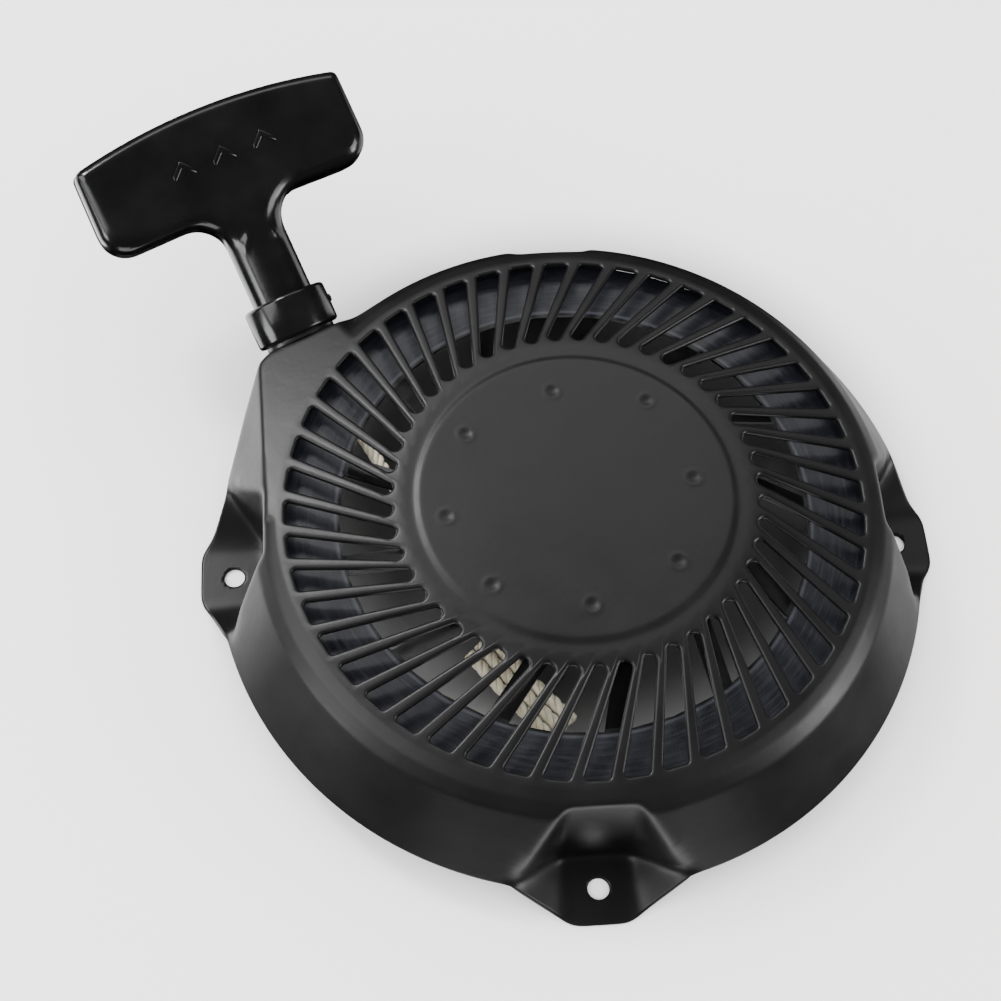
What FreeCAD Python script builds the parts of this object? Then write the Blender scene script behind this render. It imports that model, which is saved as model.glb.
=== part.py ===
import FreeCAD, Part
import math
import os

import Sketcher

# Recoil starter for a small engine.  Millimetres, +Z up.  The origin is the centre of the
# bolt circle on the face that rests against the engine, and the four ears lie on +-X and +-Y.

os.makedirs("parts", exist_ok=True)
doc = FreeCAD.newDocument("recoil_starter")
V = FreeCAD.Vector

SIZES = {
    # pressed steel shell
    "sheet": 1.2,
    "disc_top": 53.0,
    "disc_radius": 51.3,
    "grille_top": 52.0,
    "slot_inner_radius": 60.1,
    "slot_outer_radius": 95.0,
    "rim_radius": 98.0,
    "rim_top": 45.7,
    "edge_radius": 101.8,
    "edge_top": 44.0,
    "shoulder_radius": 105.6,
    "shoulder_top": 40.5,
    "skirt_radius": 120.7,
    "skirt_bottom": 14.0,
    "slot_inner_width": 4.1,
    "slot_outer_width": 8.3,
    # four ears
    "hole_circle_radius": 116.5,
    "ear_hole_radius": 3.55,
    "ear_end": 128.0,
    "pocket_top_radius": 102.4,
    "pocket_foot_radius": 105.6,
    "pocket_half_width": 11.2,
    # hub
    "post_radius": 6.0,
    "post_bottom": 13.0,
    "post_top": 50.6,
    "screw_radius": 2.9,
    # guard spider under the grille
    "guard_top": 39.5,
    "guard_inner_radius": 77.8,
    "guard_outer_radius": 98.4,
    "guard_sheet": 1.2,
    # pulley and rope
    "rope_radius": 2.25,
    "rope_level": 29.5,
    "groove_width": 7.0,
    "groove_radius": 30.0,
    "winding_radius": 42.0,
    "flange_radius": 47.5,
    "flange_sheet": 2.0,
    "spring_wall_radius": 38.0,
    "spring_wall_top": 46.0,
    "hub_clearance": 0.06,
    # pawls and friction plate
    "pawl_pivot_radius": 20.0,
    "pawl_pin_radius": 2.5,
    "pawl_bottom": 19.0,
    "pawl_top": 23.6,
    "pawl_length": 20.0,
    "follower_arm": 10.0,
    "follower_radius": 1.5,
    "plate_radius": 30.0,
    "plate_bottom": 15.0,
    "plate_top": 16.6,
    # handle, along its own axis from the foot of the seat
    "seat_radius": 14.9,
    "seat_foot": 0.7,
    "seat_length": 13.5,
    "seat_bore": 11.35,
    "seat_floor": 2.6,
    "neck_radius": 10.9,
    "neck_start": 3.0,
    "grip_bottom": 47.3,
    "grip_side_top": 78.6,
    "grip_mid_top": 83.8,
    "grip_half_width": 50.0,
    "grip_thickness": 21.8,
    "knot_floor": 60.0,
    "knot_bore": 7.5,
}

SLOT_COUNT = 48
SLOT_INNER_ANGLE = 2.84
SLOT_SWEEP = -11.37
LEG_COUNT = 13
LEG_ANGLE = 4.7
LEG_SWEEP_PER_MM = -0.35
HANDLE_TURN = 25.0
HANDLE_TILT = 30.0
HANDLE_FOOT = V(-90.5, 79.2, 33.0)
EXIT_FACE = 109.4
BOSS_CORNER = V(-103.3, 62.4, 42.9)
BOSS_LEFT = V(-103.2, 12.0, 42.9)
BOSS_FEET = (V(-119.8, 20.0, 14.0), V(-110.3, 64.0, 14.0), V(-97.0, 79.0, 14.0))
PLATE_TURN = 40.0
PAWL_SWING = 30.0
PAWL_REST = -100.0

sheet = doc.addObject("Spreadsheet::Sheet", "Sizes")
for row, (alias, number) in enumerate(SIZES.items(), start=1):
    sheet.set(f"A{row}", alias)
    sheet.set(f"B{row}", str(number))
    sheet.setAlias(f"B{row}", alias)
doc.recompute()


class Size:
    """A number together with the spreadsheet expression that gives it."""

    def __init__(self, value, text):
        self.value = value
        self.text = text

    def combine(self, other, sign, value):
        text = other.text if isinstance(other, Size) else repr(float(other))
        return Size(value, f"({self.text} {sign} {text})")

    def __add__(self, other):
        return self.combine(other, "+", self.value + number_of(other))

    def __sub__(self, other):
        return self.combine(other, "-", self.value - number_of(other))

    def __mul__(self, other):
        return self.combine(other, "*", self.value * number_of(other))

    def __truediv__(self, other):
        return self.combine(other, "/", self.value / number_of(other))

    def __rsub__(self, other):
        return -self + other

    def __neg__(self):
        return Size(-self.value, f"(0 - {self.text})")


def number_of(size):
    return size.value if isinstance(size, Size) else float(size)


def cell(alias):
    return Size(float(SIZES[alias]), f"Sizes.{alias}")


def bind(item, field, size):
    """Give a property its number, and its expression when it comes from the sheet."""
    if isinstance(size, Size):
        item.setExpression(field, size.text)


# ---------------------------------------------------------------- sketches and features


def plane(body, role):
    return next(item for item in body.Origin.OriginFeatures if item.Role == role)


def new_body(label):
    body = doc.addObject("PartDesign::Body", label)
    body.Label = label
    return body


def new_sketch(body, name, role, height=0.0):
    sketch = body.newObject("Sketcher::SketchObject", name)
    sketch.AttachmentSupport = [(plane(body, role), "")]
    sketch.MapMode = "FlatFace"
    sketch.AttachmentOffset = FreeCAD.Placement(V(0, 0, number_of(height)), FreeCAD.Rotation())
    bind(sketch, ".AttachmentOffset.Base.z", height)
    return sketch


def hold(sketch, geometry, corner, x, y):
    """Tie one corner to the sketch's axes, by an expression where the size has one."""
    if number_of(x) == 0.0:
        sketch.addConstraint(Sketcher.Constraint("PointOnObject", geometry, corner, -2))
    else:
        index = sketch.addConstraint(Sketcher.Constraint("DistanceX", -1, 1, geometry, corner, number_of(x)))
        bind(sketch, f"Constraints[{index}]", x)
    if number_of(y) == 0.0:
        sketch.addConstraint(Sketcher.Constraint("PointOnObject", geometry, corner, -1))
    else:
        index = sketch.addConstraint(Sketcher.Constraint("DistanceY", -1, 1, geometry, corner, number_of(y)))
        bind(sketch, f"Constraints[{index}]", y)


def add_outline(sketch, points):
    """A closed outline of straight lines through the points."""
    corners = [V(number_of(x), number_of(y), 0) for x, y in points]
    count = len(corners)
    lines = [
        sketch.addGeometry(Part.LineSegment(corners[i], corners[(i + 1) % count]), False) for i in range(count)
    ]
    for i, line in enumerate(lines):
        sketch.addConstraint(Sketcher.Constraint("Coincident", line, 2, lines[(i + 1) % count], 1))
    for line, (x, y) in zip(lines, points):
        hold(sketch, line, 1, x, y)


def add_circle(sketch, x, y, radius):
    circle = sketch.addGeometry(Part.Circle(V(number_of(x), number_of(y), 0), V(0, 0, 1), number_of(radius)), False)
    index = sketch.addConstraint(Sketcher.Constraint("Radius", circle, number_of(radius)))
    bind(sketch, f"Constraints[{index}]", radius)
    if number_of(x) == 0.0 and number_of(y) == 0.0:
        sketch.addConstraint(Sketcher.Constraint("Coincident", circle, 3, -1, 1))
    else:
        hold(sketch, circle, 3, x, y)


def revolve(body, name, points, role="XZ_Plane", axis="V_Axis"):
    sketch = new_sketch(body, name + "_section", role)
    add_outline(sketch, points)
    feature = body.newObject("PartDesign::Revolution", name)
    feature.Profile = sketch
    feature.ReferenceAxis = (sketch, [axis])
    feature.Angle = 360.0
    doc.recompute()
    return feature


def pad(body, sketch, name, length, reverse=False, both=False):
    feature = body.newObject("PartDesign::Pad", name)
    feature.Profile = sketch
    feature.Length = number_of(length)
    bind(feature, "Length", length)
    feature.Reversed = reverse
    feature.Midplane = both
    doc.recompute()
    return feature


def pocket(body, sketch, name, length, reverse=False):
    """Cut a sketch through the body, and make sure that something was really cut."""
    before = body.Shape.Volume
    feature = body.newObject("PartDesign::Pocket", name)
    feature.Profile = sketch
    feature.Length = number_of(length)
    bind(feature, "Length", length)
    feature.Reversed = reverse
    doc.recompute()
    if not body.Shape.Volume < before - 1e-3:
        raise RuntimeError(f"{name} cuts nothing")
    return feature


def repeat_round(body, feature, count):
    """Repeat a feature evenly round the body's Z axis."""
    pattern = body.newObject("PartDesign::PolarPattern", feature.Name + "_round")
    pattern.Originals = [feature]
    pattern.Axis = (plane(body, "Z_Axis"), [""])
    pattern.Angle = 360.0
    pattern.Occurrences = count
    body.Tip = pattern
    doc.recompute()
    return pattern


def cylinder(name, radius, height, bottom, x=0.0, y=0.0):
    item = doc.addObject("Part::Cylinder", name)
    item.Radius = number_of(radius)
    item.Height = number_of(height)
    item.Placement.Base = V(x, y, number_of(bottom))
    bind(item, "Radius", radius)
    bind(item, "Height", height)
    bind(item, ".Placement.Base.z", bottom)
    return item


def torus(name, ring, wire, height, x=0.0, y=0.0):
    item = doc.addObject("Part::Torus", name)
    item.Radius1 = number_of(ring)
    item.Radius2 = number_of(wire)
    item.Placement.Base = V(x, y, number_of(height))
    return item


def join(label, pieces):
    item = doc.addObject("Part::MultiFuse", label)
    item.Shapes = pieces
    item.Label = label
    return item


def cut(label, base, tool):
    item = doc.addObject("Part::Cut", label)
    item.Base = base
    item.Tool = tool
    item.Label = label
    return item


def shaped(label, shape):
    item = doc.addObject("Part::Feature", label)
    item.Shape = shape
    item.Label = label
    return item


def polar(radius, angle, z=0.0):
    a = math.radians(angle)
    return V(radius * math.cos(a), radius * math.sin(a), z)


def turned(shape, angle):
    copy = shape.copy()
    copy.rotate(V(0, 0, 0), V(0, 0, 1), angle)
    return copy


# ------------------------------------------------------------------------------- shell


def skirt_section(inset, bottom):
    """Half section of the shell's outside, moved in by inset, closed down the axis."""
    slope = (SIZES["skirt_radius"] - SIZES["shoulder_radius"]) / (SIZES["shoulder_top"] - SIZES["skirt_bottom"])
    lean = inset * math.hypot(1.0, slope)
    foot = SIZES["skirt_radius"] + slope * (SIZES["skirt_bottom"] - bottom) - lean
    return [
        (0.0, cell("disc_top") - inset),
        (cell("disc_radius") - inset * 0.3, cell("disc_top") - inset),
        (cell("disc_radius") + 1.3 - inset * 0.3, cell("grille_top") - inset),
        (cell("slot_inner_radius"), cell("grille_top") - inset),
        (cell("rim_radius") - inset * 0.3, cell("rim_top") - inset),
        (cell("edge_radius") - inset, cell("edge_top") - inset),
        (cell("shoulder_radius") - inset, cell("shoulder_top") - inset * 0.6),
        (foot, bottom),
        (0.0, bottom),
    ]


def block_behind(point, normal, size=500.0):
    """A large block that fills the side of a plane away from its normal."""
    box = Part.makeBox(size, size, size, V(-size / 2, -size / 2, -size))
    box.Placement = FreeCAD.Placement(point, FreeCAD.Rotation(V(0, 0, 1), normal)).multiply(box.Placement)
    return box


def keep_in_front(shape, corners, inside, inset=0.0):
    """Keep the part of a shape on the inside point's side of the plane through three corners."""
    a, b, c = corners
    normal = (b - a).cross(c - a).normalize()
    if normal.dot(inside - a) < 0:
        normal = -normal
    return shape.cut(block_behind(a - normal * inset, normal))


def pocket_space(grow):
    """The open space over one ear, on +X: a flat inner wall with two folded faces each side."""
    top = SIZES["pocket_top_radius"]
    foot = SIZES["pocket_foot_radius"]
    half = SIZES["pocket_half_width"]
    skirt_corner = polar(SIZES["skirt_radius"] - 0.1, 13.3, SIZES["skirt_bottom"])
    space = Part.makeBox(60, 120, 80, V(90, -60, -5))
    inside = V(130, 0, 30)
    for side in (1, -1):
        wall_top = V(top, side * (half - 0.3), 43.2)
        wall_foot = V(foot, side * (half + 0.6), SIZES["sheet"])
        skirt_end = V(skirt_corner.x, side * skirt_corner.y, skirt_corner.z)
        tab_corner = V(122.6, side * 13.0, SIZES["sheet"])
        space = keep_in_front(space, (wall_top, skirt_end, wall_foot), inside, grow)
        space = keep_in_front(space, (skirt_end, wall_foot, tab_corner), inside, grow)
    wall = (V(top, 0, 43.2), V(top, 5, 43.2), V(foot, 0, SIZES["sheet"]))
    space = keep_in_front(space, wall, inside, grow)
    floor = (V(0, 0, SIZES["sheet"]), V(1, 0, SIZES["sheet"]), V(0, 1, SIZES["sheet"]))
    return keep_in_front(space, floor, inside, grow)


def boss_space(inset):
    """The block that carries the rope exit, under the grille's own slope carried outward."""
    slope = (SIZES["grille_top"] - SIZES["rim_top"]) / (SIZES["rim_radius"] - SIZES["slot_inner_radius"])
    far = 150.0
    far_top = SIZES["rim_top"] - slope * (far - SIZES["rim_radius"]) - inset
    near = 60.0
    near_top = SIZES["grille_top"] - inset
    face = Part.Face(
        Part.makePolygon([V(near, 0, 0), V(far, 0, 0), V(far, 0, far_top), V(near, 0, near_top), V(near, 0, 0)])
    )
    block = face.revolve(V(0, 0, 0), V(0, 0, 1), 60.0)
    block.rotate(V(0, 0, 0), V(0, 0, 1), 122.0)
    exit_way = handle_way()
    right_turn = math.radians(HANDLE_TURN)
    right = V(math.cos(right_turn), math.sin(right_turn), 0.45).normalize()
    for point, normal in (
        (exit_way * EXIT_FACE, exit_way),
        (V(-74.0, 75.5, 44.0), right),
    ):
        block = block.cut(block_behind(point - normal * inset, -normal))
    middle = V(-85, 50, 20)
    for corners in (
        (BOSS_CORNER, BOSS_LEFT, BOSS_FEET[0]),
        (BOSS_CORNER, BOSS_FEET[0], BOSS_FEET[1]),
        (BOSS_CORNER, BOSS_FEET[1], BOSS_FEET[2]),
    ):
        block = keep_in_front(block, corners, middle, -inset)
    return block


def handle_way():
    tilt = math.radians(HANDLE_TILT)
    turn = math.radians(HANDLE_TURN)
    return V(-math.sin(turn) * math.cos(tilt), math.cos(turn) * math.cos(tilt), math.sin(tilt))


def handle_placement(along=0.0):
    """Local Y runs along the pull and local X across the grip."""
    turn = FreeCAD.Rotation(V(0, 0, 1), HANDLE_TURN)
    tilt = FreeCAD.Rotation(V(1, 0, 0), HANDLE_TILT)
    return FreeCAD.Placement(HANDLE_FOOT + handle_way() * along, turn.multiply(tilt))


def slot_prism():
    """One tapered slot: round at the inner end, with small corners at the outer end."""
    inner = polar(SIZES["slot_inner_radius"], SLOT_INNER_ANGLE)
    outer = polar(SIZES["slot_outer_radius"], SLOT_INNER_ANGLE + SLOT_SWEEP)
    way = (outer - inner).normalize()
    across = V(-way.y, way.x, 0)
    along_rim = polar(1.0, SLOT_INNER_ANGLE + SLOT_SWEEP + 90.0)
    tip = SIZES["slot_inner_width"] / 2
    half = SIZES["slot_outer_width"] / 2
    corners = [inner + across * tip, inner - across * tip, outer - along_rim * half, outer + along_rim * half]
    face = Part.Face(Part.makePolygon([*corners, corners[0]]))
    prism = face.extrude(V(0, 0, 40))
    uprights = [e for e in prism.Edges if abs(e.tangentAt(e.FirstParameter).z) > 0.99]
    near = [e for e in uprights if math.hypot(e.CenterOfMass.x, e.CenterOfMass.y) < 75]
    away = [e for e in uprights if math.hypot(e.CenterOfMass.x, e.CenterOfMass.y) > 75]
    prism = prism.makeFillet(1.3, away)
    near = [
        e
        for e in prism.Edges
        if e.Curve.TypeId == "Part::GeomLine"
        and abs(e.tangentAt(e.FirstParameter).z) > 0.99
        and math.hypot(e.CenterOfMass.x, e.CenterOfMass.y) < 75
    ]
    prism = prism.makeFillet(tip * 0.96, near)
    prism.translate(V(0, 0, 30))
    return prism


def ear_plan(reach):
    """Plan outline of one ear on +X, from inside the skirt to its end."""
    foot = SIZES["pocket_foot_radius"]
    end = SIZES["ear_end"]
    half = [(foot - reach, 12.4), (118.0, 13.3), (121.5, 17.5), (125.6, 13.0), (end, 9.3)]
    if reach == 0.0:
        half = [(foot - 1.0, 12.4), (122.6, 13.2), (125.6, 13.0), (end, 9.3)]
    points = [V(x, -y, 0) for x, y in half] + [V(x, y, 0) for x, y in reversed(half)]
    return Part.Face(Part.makePolygon([*points, points[0]]))


def skirt_trim():
    """Everything under the skirt's edge, apart from the four ears and their folded faces."""
    low = -20.0
    ring = Part.makeCylinder(200, SIZES["skirt_bottom"] - low, V(0, 0, low))
    corner = polar(SIZES["skirt_radius"] + 0.4, 13.35)
    plan = [V(60, -20, low), V(corner.x, -corner.y, low), V(122.9, -13.0, low), V(140, -13.0, low)]
    plan += [V(p.x, -p.y, low) for p in reversed(plan)]
    keep = Part.Face(Part.makePolygon([*plan, plan[0]])).extrude(V(0, 0, 60))
    for angle in (0, 90, 180, 270):
        ring = ring.cut(turned(keep, angle))
    return ring


def make_shell():
    """Pressed sheet: grille, rim, flared skirt, rope boss, four folded ears and the slots."""
    outside = new_body("shell_outside")
    revolve(outside, "outside", skirt_section(0.0, 0.5))
    inside = new_body("shell_inside")
    revolve(inside, "inside", skirt_section(SIZES["sheet"], -3.0))
    solid = outside.Shape.fuse(boss_space(0.0))
    hollow = inside.Shape.fuse(boss_space(SIZES["sheet"]))
    for angle in (0, 90, 180, 270):
        solid = solid.cut(turned(pocket_space(0.0), angle))
        hollow = hollow.cut(turned(pocket_space(SIZES["sheet"]), angle))
    press = solid.cut(hollow).cut(skirt_trim())
    tab = ear_plan(0.0).extrude(V(0, 0, SIZES["sheet"]))
    hole = Part.makeCylinder(SIZES["ear_hole_radius"], 10, V(SIZES["hole_circle_radius"], 0, -5))
    for angle in (0, 90, 180, 270):
        press = press.fuse(turned(tab, angle))
    press = press.cut(Part.makeCompound([turned(hole, angle) for angle in (0, 90, 180, 270)]))
    slots = [turned(slot_prism(), 360.0 / SLOT_COUNT * i) for i in range(SLOT_COUNT)]
    press = press.cut(Part.makeCompound(slots))
    way = handle_way()
    exit_hole = Part.makeCylinder(5.05, 30, HANDLE_FOOT - way * 15.0, way)
    press = press.cut(exit_hole).removeSplitter()
    solids = sorted(press.Solids, key=lambda one: one.Volume)
    return shaped("shell", solids[-1])


# -------------------------------------------------------------------- guard, hub, spring


def make_guard():
    """Pressed guard: a plate welded under the disc, swept legs and a flat ring under the slots."""
    body = new_body("guard_spider")
    top = cell("guard_top")
    high = cell("post_top") + cell("guard_sheet")
    thick = cell("guard_sheet")
    revolve(
        body,
        "guard",
        [
            (3.2, high),
            (46.0, high),
            (cell("guard_inner_radius") - 1.0, top),
            (cell("guard_outer_radius"), top),
            (cell("guard_outer_radius"), top - thick),
            (cell("guard_inner_radius") - 1.4, top - thick),
            (45.6, high - thick),
            (3.2, high - thick),
        ],
    )
    sketch = new_sketch(body, "window_plan", "XY_Plane", 30.0)
    start = 50.0
    end = SIZES["guard_inner_radius"]
    step = 360.0 / LEG_COUNT
    points = []
    for radius, side in ((start, 1), (end, 1), (end, 0.5), (end, 0), (start, 0)):
        leg_half = math.degrees(3.6 / radius)
        low = LEG_ANGLE + LEG_SWEEP_PER_MM * (radius - 58.0) + leg_half
        high_angle = LEG_ANGLE + LEG_SWEEP_PER_MM * (radius - 58.0) + step - leg_half
        corner = polar(radius, low + (high_angle - low) * side)
        points.append((corner.x, corner.y))
    add_outline(sketch, points)
    window = pocket(body, sketch, "window", 40.0, reverse=True)
    repeat_round(body, window, LEG_COUNT)
    return body


def make_hub_post():
    """Stepped steel post: a welded flange on top and a threaded bore for the centre screw."""
    body = new_body("hub_post")
    revolve(
        body,
        "post",
        [
            (cell("screw_radius"), cell("post_bottom")),
            (cell("post_radius"), cell("post_bottom")),
            (cell("post_radius"), cell("post_top") - 1.6),
            (11.0, cell("post_top") - 1.6),
            (11.0, cell("post_top")),
            (0.0, cell("post_top")),
            (0.0, cell("post_bottom") + 22.0),
            (cell("screw_radius"), cell("post_bottom") + 20.0),
        ],
    )
    return body


def make_screw():
    """Hexagon flange screw that holds the washer up against the post."""
    body = new_body("centre_screw")
    seat = cell("post_bottom") - 1.2
    revolve(
        body,
        "screw",
        [
            (0.0, seat - 1.4),
            (8.0, seat - 1.4),
            (8.0, seat),
            (cell("screw_radius") - 0.02, seat),
            (cell("screw_radius") - 0.02, cell("post_bottom") + 16.0),
            (0.0, cell("post_bottom") + 17.5),
        ],
    )
    sketch = new_sketch(body, "head_plan", "XY_Plane", seat - 5.2)
    add_outline(sketch, [(p.x, p.y) for p in (polar(5.77, 30 + 60 * i) for i in range(6))])
    pad(body, sketch, "head", 4.0)
    return body


def make_washer():
    item = cylinder("washer_disc", 11.0, 1.2, cell("post_bottom") - 1.2)
    hole = cylinder("washer_hole", cell("screw_radius") + 0.3, 4.0, cell("post_bottom") - 3.0)
    return cut("screw_washer", item, hole)


def make_spring():
    """Flat spiral strip, from the post out to the wall of the spring chamber."""
    inner, outer, turns, strip = 6.9, 34.0, 6.5, 0.9
    steps = int(turns * 24)
    height = 8.2
    level = SIZES["spring_wall_top"] - 9.0

    def run(shift):
        points = []
        for i in range(steps + 1):
            share = i / steps
            radius = inner + (outer - inner) * share + shift
            points.append(polar(radius, 360.0 * turns * share, level))
        return points

    near = run(0.0)
    far = run(strip)
    near_curve = Part.BSplineCurve()
    near_curve.interpolate(near)
    far_curve = Part.BSplineCurve()
    far_curve.interpolate(far)
    edges = [
        near_curve.toShape(),
        Part.LineSegment(near[-1], far[-1]).toShape(),
        far_curve.toShape(),
        Part.LineSegment(far[0], near[0]).toShape(),
    ]
    face = Part.Face(Part.Wire(Part.__sortEdges__(edges)))
    return shaped("recoil_spring", face.extrude(V(0, 0, height)))


# ------------------------------------------------------------------------------- pulley


def groove_low():
    return cell("rope_level") - cell("groove_width") / 2


def groove_high():
    return cell("rope_level") + cell("groove_width") / 2


def make_pulley():
    """Moulded pulley: rope groove, spring chamber on top, hub and knot lug below."""
    body = new_body("pulley")
    low = groove_low()
    high = groove_high()
    under = low - cell("flange_sheet")
    over = high + cell("flange_sheet")
    bore = cell("post_radius") + cell("hub_clearance")
    hub_bottom = cell("plate_top") + 0.5
    revolve(
        body,
        "wheel",
        [
            (bore, hub_bottom),
            (9.0, hub_bottom),
            (9.0, under),
            (cell("flange_radius"), under),
            (cell("flange_radius"), low),
            (cell("groove_radius"), low),
            (cell("groove_radius"), high),
            (cell("flange_radius"), high),
            (cell("flange_radius"), over),
            (cell("spring_wall_radius"), over),
            (cell("spring_wall_radius"), cell("spring_wall_top")),
            (cell("spring_wall_radius") - 2.4, cell("spring_wall_top")),
            (cell("spring_wall_radius") - 2.4, over + 1.2),
            (bore, over + 1.2),
        ],
    )
    lug = new_sketch(body, "lug_plan", "XY_Plane", under - 4.6)
    lug_corners = [polar(39.0, 221), polar(43.5, 221), polar(43.5, 233), polar(39.0, 233)]
    add_outline(lug, [(p.x, p.y) for p in lug_corners])
    pad(body, lug, "knot_lug", 5.0)
    holes = new_sketch(body, "pin_holes", "XY_Plane", under - 1.0)
    add_circle(holes, cell("pawl_pivot_radius"), 0.0, cell("pawl_pin_radius") - 0.6)
    add_circle(holes, -cell("pawl_pivot_radius"), 0.0, cell("pawl_pin_radius") - 0.6)
    pocket(body, holes, "pin_sockets", 7.0, reverse=True)
    return body


def make_spring_cover():
    item = cylinder("cover_disc", cell("spring_wall_radius"), 1.0, cell("spring_wall_top"))
    hole = cylinder("cover_hole", 11.0, 3.0, cell("spring_wall_top") - 1.0)
    return cut("spring_cover", item, hole)


def make_cover_screws():
    """Three small screw heads on the cover's edge."""
    heads = []
    for i in range(3):
        spot = polar(SIZES["spring_wall_radius"] - 1.8, 30 + 120 * i)
        heads.append(cylinder(f"cover_head_{i}", 1.7, 1.1, cell("spring_wall_top") + 1.0, spot.x, spot.y))
    return join("cover_screws", heads)


def make_winding():
    """The rope wound in the groove, as one ring."""
    body = new_body("rope_winding")
    gap = 0.15
    revolve(
        body,
        "winding",
        [
            (cell("groove_radius") + gap, groove_low() + gap),
            (cell("winding_radius") - 1.5, groove_low() + gap),
            (cell("winding_radius"), groove_low() + 1.8),
            (cell("winding_radius"), groove_high() - 1.8),
            (cell("winding_radius") - 1.5, groove_high() - gap),
            (cell("groove_radius") + gap, groove_high() - gap),
        ],
    )
    return body


def rope_along(points, bends):
    """A round rope along straight runs joined by tangent arcs."""
    edges = []
    start = points[0]
    for i in range(1, len(points) - 1):
        into = (points[i] - points[i - 1]).normalize()
        out = (points[i + 1] - points[i]).normalize()
        turn = into.getAngle(out)
        back = bends[i - 1] * math.tan(turn / 2)
        arc_start = points[i] - into * back
        arc_end = points[i] + out * back
        bisector = (out - into).normalize()
        middle = points[i] + bisector * (bends[i - 1] / math.cos(turn / 2) - bends[i - 1])
        edges.append(Part.LineSegment(start, arc_start).toShape())
        edges.append(Part.Arc(arc_start, middle, arc_end).toShape())
        start = arc_end
    edges.append(Part.LineSegment(start, points[-1]).toShape())
    path = Part.Wire(edges)
    way = (points[1] - points[0]).normalize()
    ring = Part.Wire(Part.Circle(points[0], way, SIZES["rope_radius"]).toShape())
    tube = path.makePipeShell([ring], True, True)
    expected = path.Length * math.pi * SIZES["rope_radius"] ** 2
    print("rope", round(path.Length, 1), "mm, bends", bends, "volume share", round(tube.Volume / expected, 3))
    return tube


def tangent_point(mouth):
    """Where a rope from the mouth meets the winding."""
    reach = SIZES["winding_radius"] + SIZES["rope_radius"] + 0.3
    away = math.hypot(mouth.x, mouth.y)
    heading = math.degrees(math.atan2(mouth.y, mouth.x) + math.acos(reach / away))
    return polar(reach, heading, SIZES["rope_level"])


def make_rope_run():
    """The rope from the winding to the eyelet and through it."""
    way = handle_way()
    end = HANDLE_FOOT - way * 1.0
    bend = HANDLE_FOOT - way * ((HANDLE_FOOT.z - SIZES["rope_level"]) / way.z)
    touch = tangent_point(bend)
    return shaped("rope_run", rope_along([touch, bend, end], [9.0]))


def make_rope_tail():
    """The rope's end, folded twice, that stands out of the knot lug."""
    level = SIZES["rope_level"] - SIZES["groove_width"] / 2 - SIZES["flange_sheet"] - 2.4
    strands = []
    for side in (-1, 0, 1):
        way = V(18.1, -19.1, 0).normalize()
        across = V(-way.y, way.x, 0) * (side * (SIZES["rope_radius"] * 2 + 0.1))
        start = V(-33.6, -38.5, level) + across
        bend = V(-27.0, -48.0, level) + across
        end = V(-8.5, -70.0, level) + across
        strands.append(rope_along([start, bend, end], [14.0]))
    return shaped("rope_tail", Part.makeCompound(strands))


# ----------------------------------------------------------------- pawls, friction plate


def pawl_plan(body, side):
    """Plan of one pawl about its pivot: a round heel and a blunt driving tip."""
    sketch = new_sketch(body, "pawl_plan", "XY_Plane", cell("pawl_bottom"))
    pivot = V(side * SIZES["pawl_pivot_radius"], 0, 0)
    heading = PAWL_REST if side > 0 else PAWL_REST + 180.0
    way = polar(1.0, heading)
    left = V(-way.y, way.x, 0)
    length = SIZES["pawl_length"]
    shape = [(-5.0, -2.2), (-2.2, -5.0), (4.0, -4.8), (length - 3.0, -2.8), (length, -1.6), (length, 2.4)]
    shape += [(length - 4.0, 3.6), (3.0, 5.0), (-2.2, 5.0), (-5.0, 2.2)]
    corners = [pivot + way * (a) + left * (b) for a, b in shape]
    add_outline(sketch, [(p.x, p.y) for p in corners])
    return sketch, pivot, way


def make_pawl(label, side):
    body = new_body(label)
    sketch, pivot, way = pawl_plan(body, side)
    pad(body, sketch, "arm", cell("pawl_top") - cell("pawl_bottom"))
    bore = new_sketch(body, "pivot_bore", "XY_Plane", cell("pawl_bottom") - 1.0)
    add_circle(bore, pivot.x, 0.0, cell("pawl_pin_radius") + 0.08)
    pocket(body, bore, "bore", 10.0, reverse=True)
    spot = pivot + way * SIZES["follower_arm"]
    follower = new_sketch(body, "follower_plan", "XY_Plane", cell("plate_bottom") - 0.6)
    add_circle(follower, spot.x, spot.y, cell("follower_radius"))
    pad(body, follower, "follower", cell("pawl_bottom") - cell("plate_bottom") + 0.8)
    return body


def make_pawl_pins():
    """Two headed steel pins that carry the pawls."""
    pins = []
    under = groove_low() - cell("flange_sheet")
    for side in (-1, 1):
        x = side * SIZES["pawl_pivot_radius"]
        foot = cell("pawl_bottom") - 0.9
        pins.append(cylinder(f"pin_shank_{side + 1}", cell("pawl_pin_radius"), under - foot, foot, x))
        pins.append(cylinder(f"pin_root_{side + 1}", cell("pawl_pin_radius") - 0.65, 5.0, under - 0.5, x))
    return join("pawl_pins", pins)


def make_pawl_springs():
    """Two small wire rings round the pins: the coils of the pawls' return springs."""
    level = cell("pawl_bottom") - 0.55
    rings = []
    for side in (-1, 1):
        x = side * SIZES["pawl_pivot_radius"]
        rings.append(torus(f"return_coil_{side + 1}", 3.3, 0.4, level, x))
    return join("pawl_springs", rings)


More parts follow.
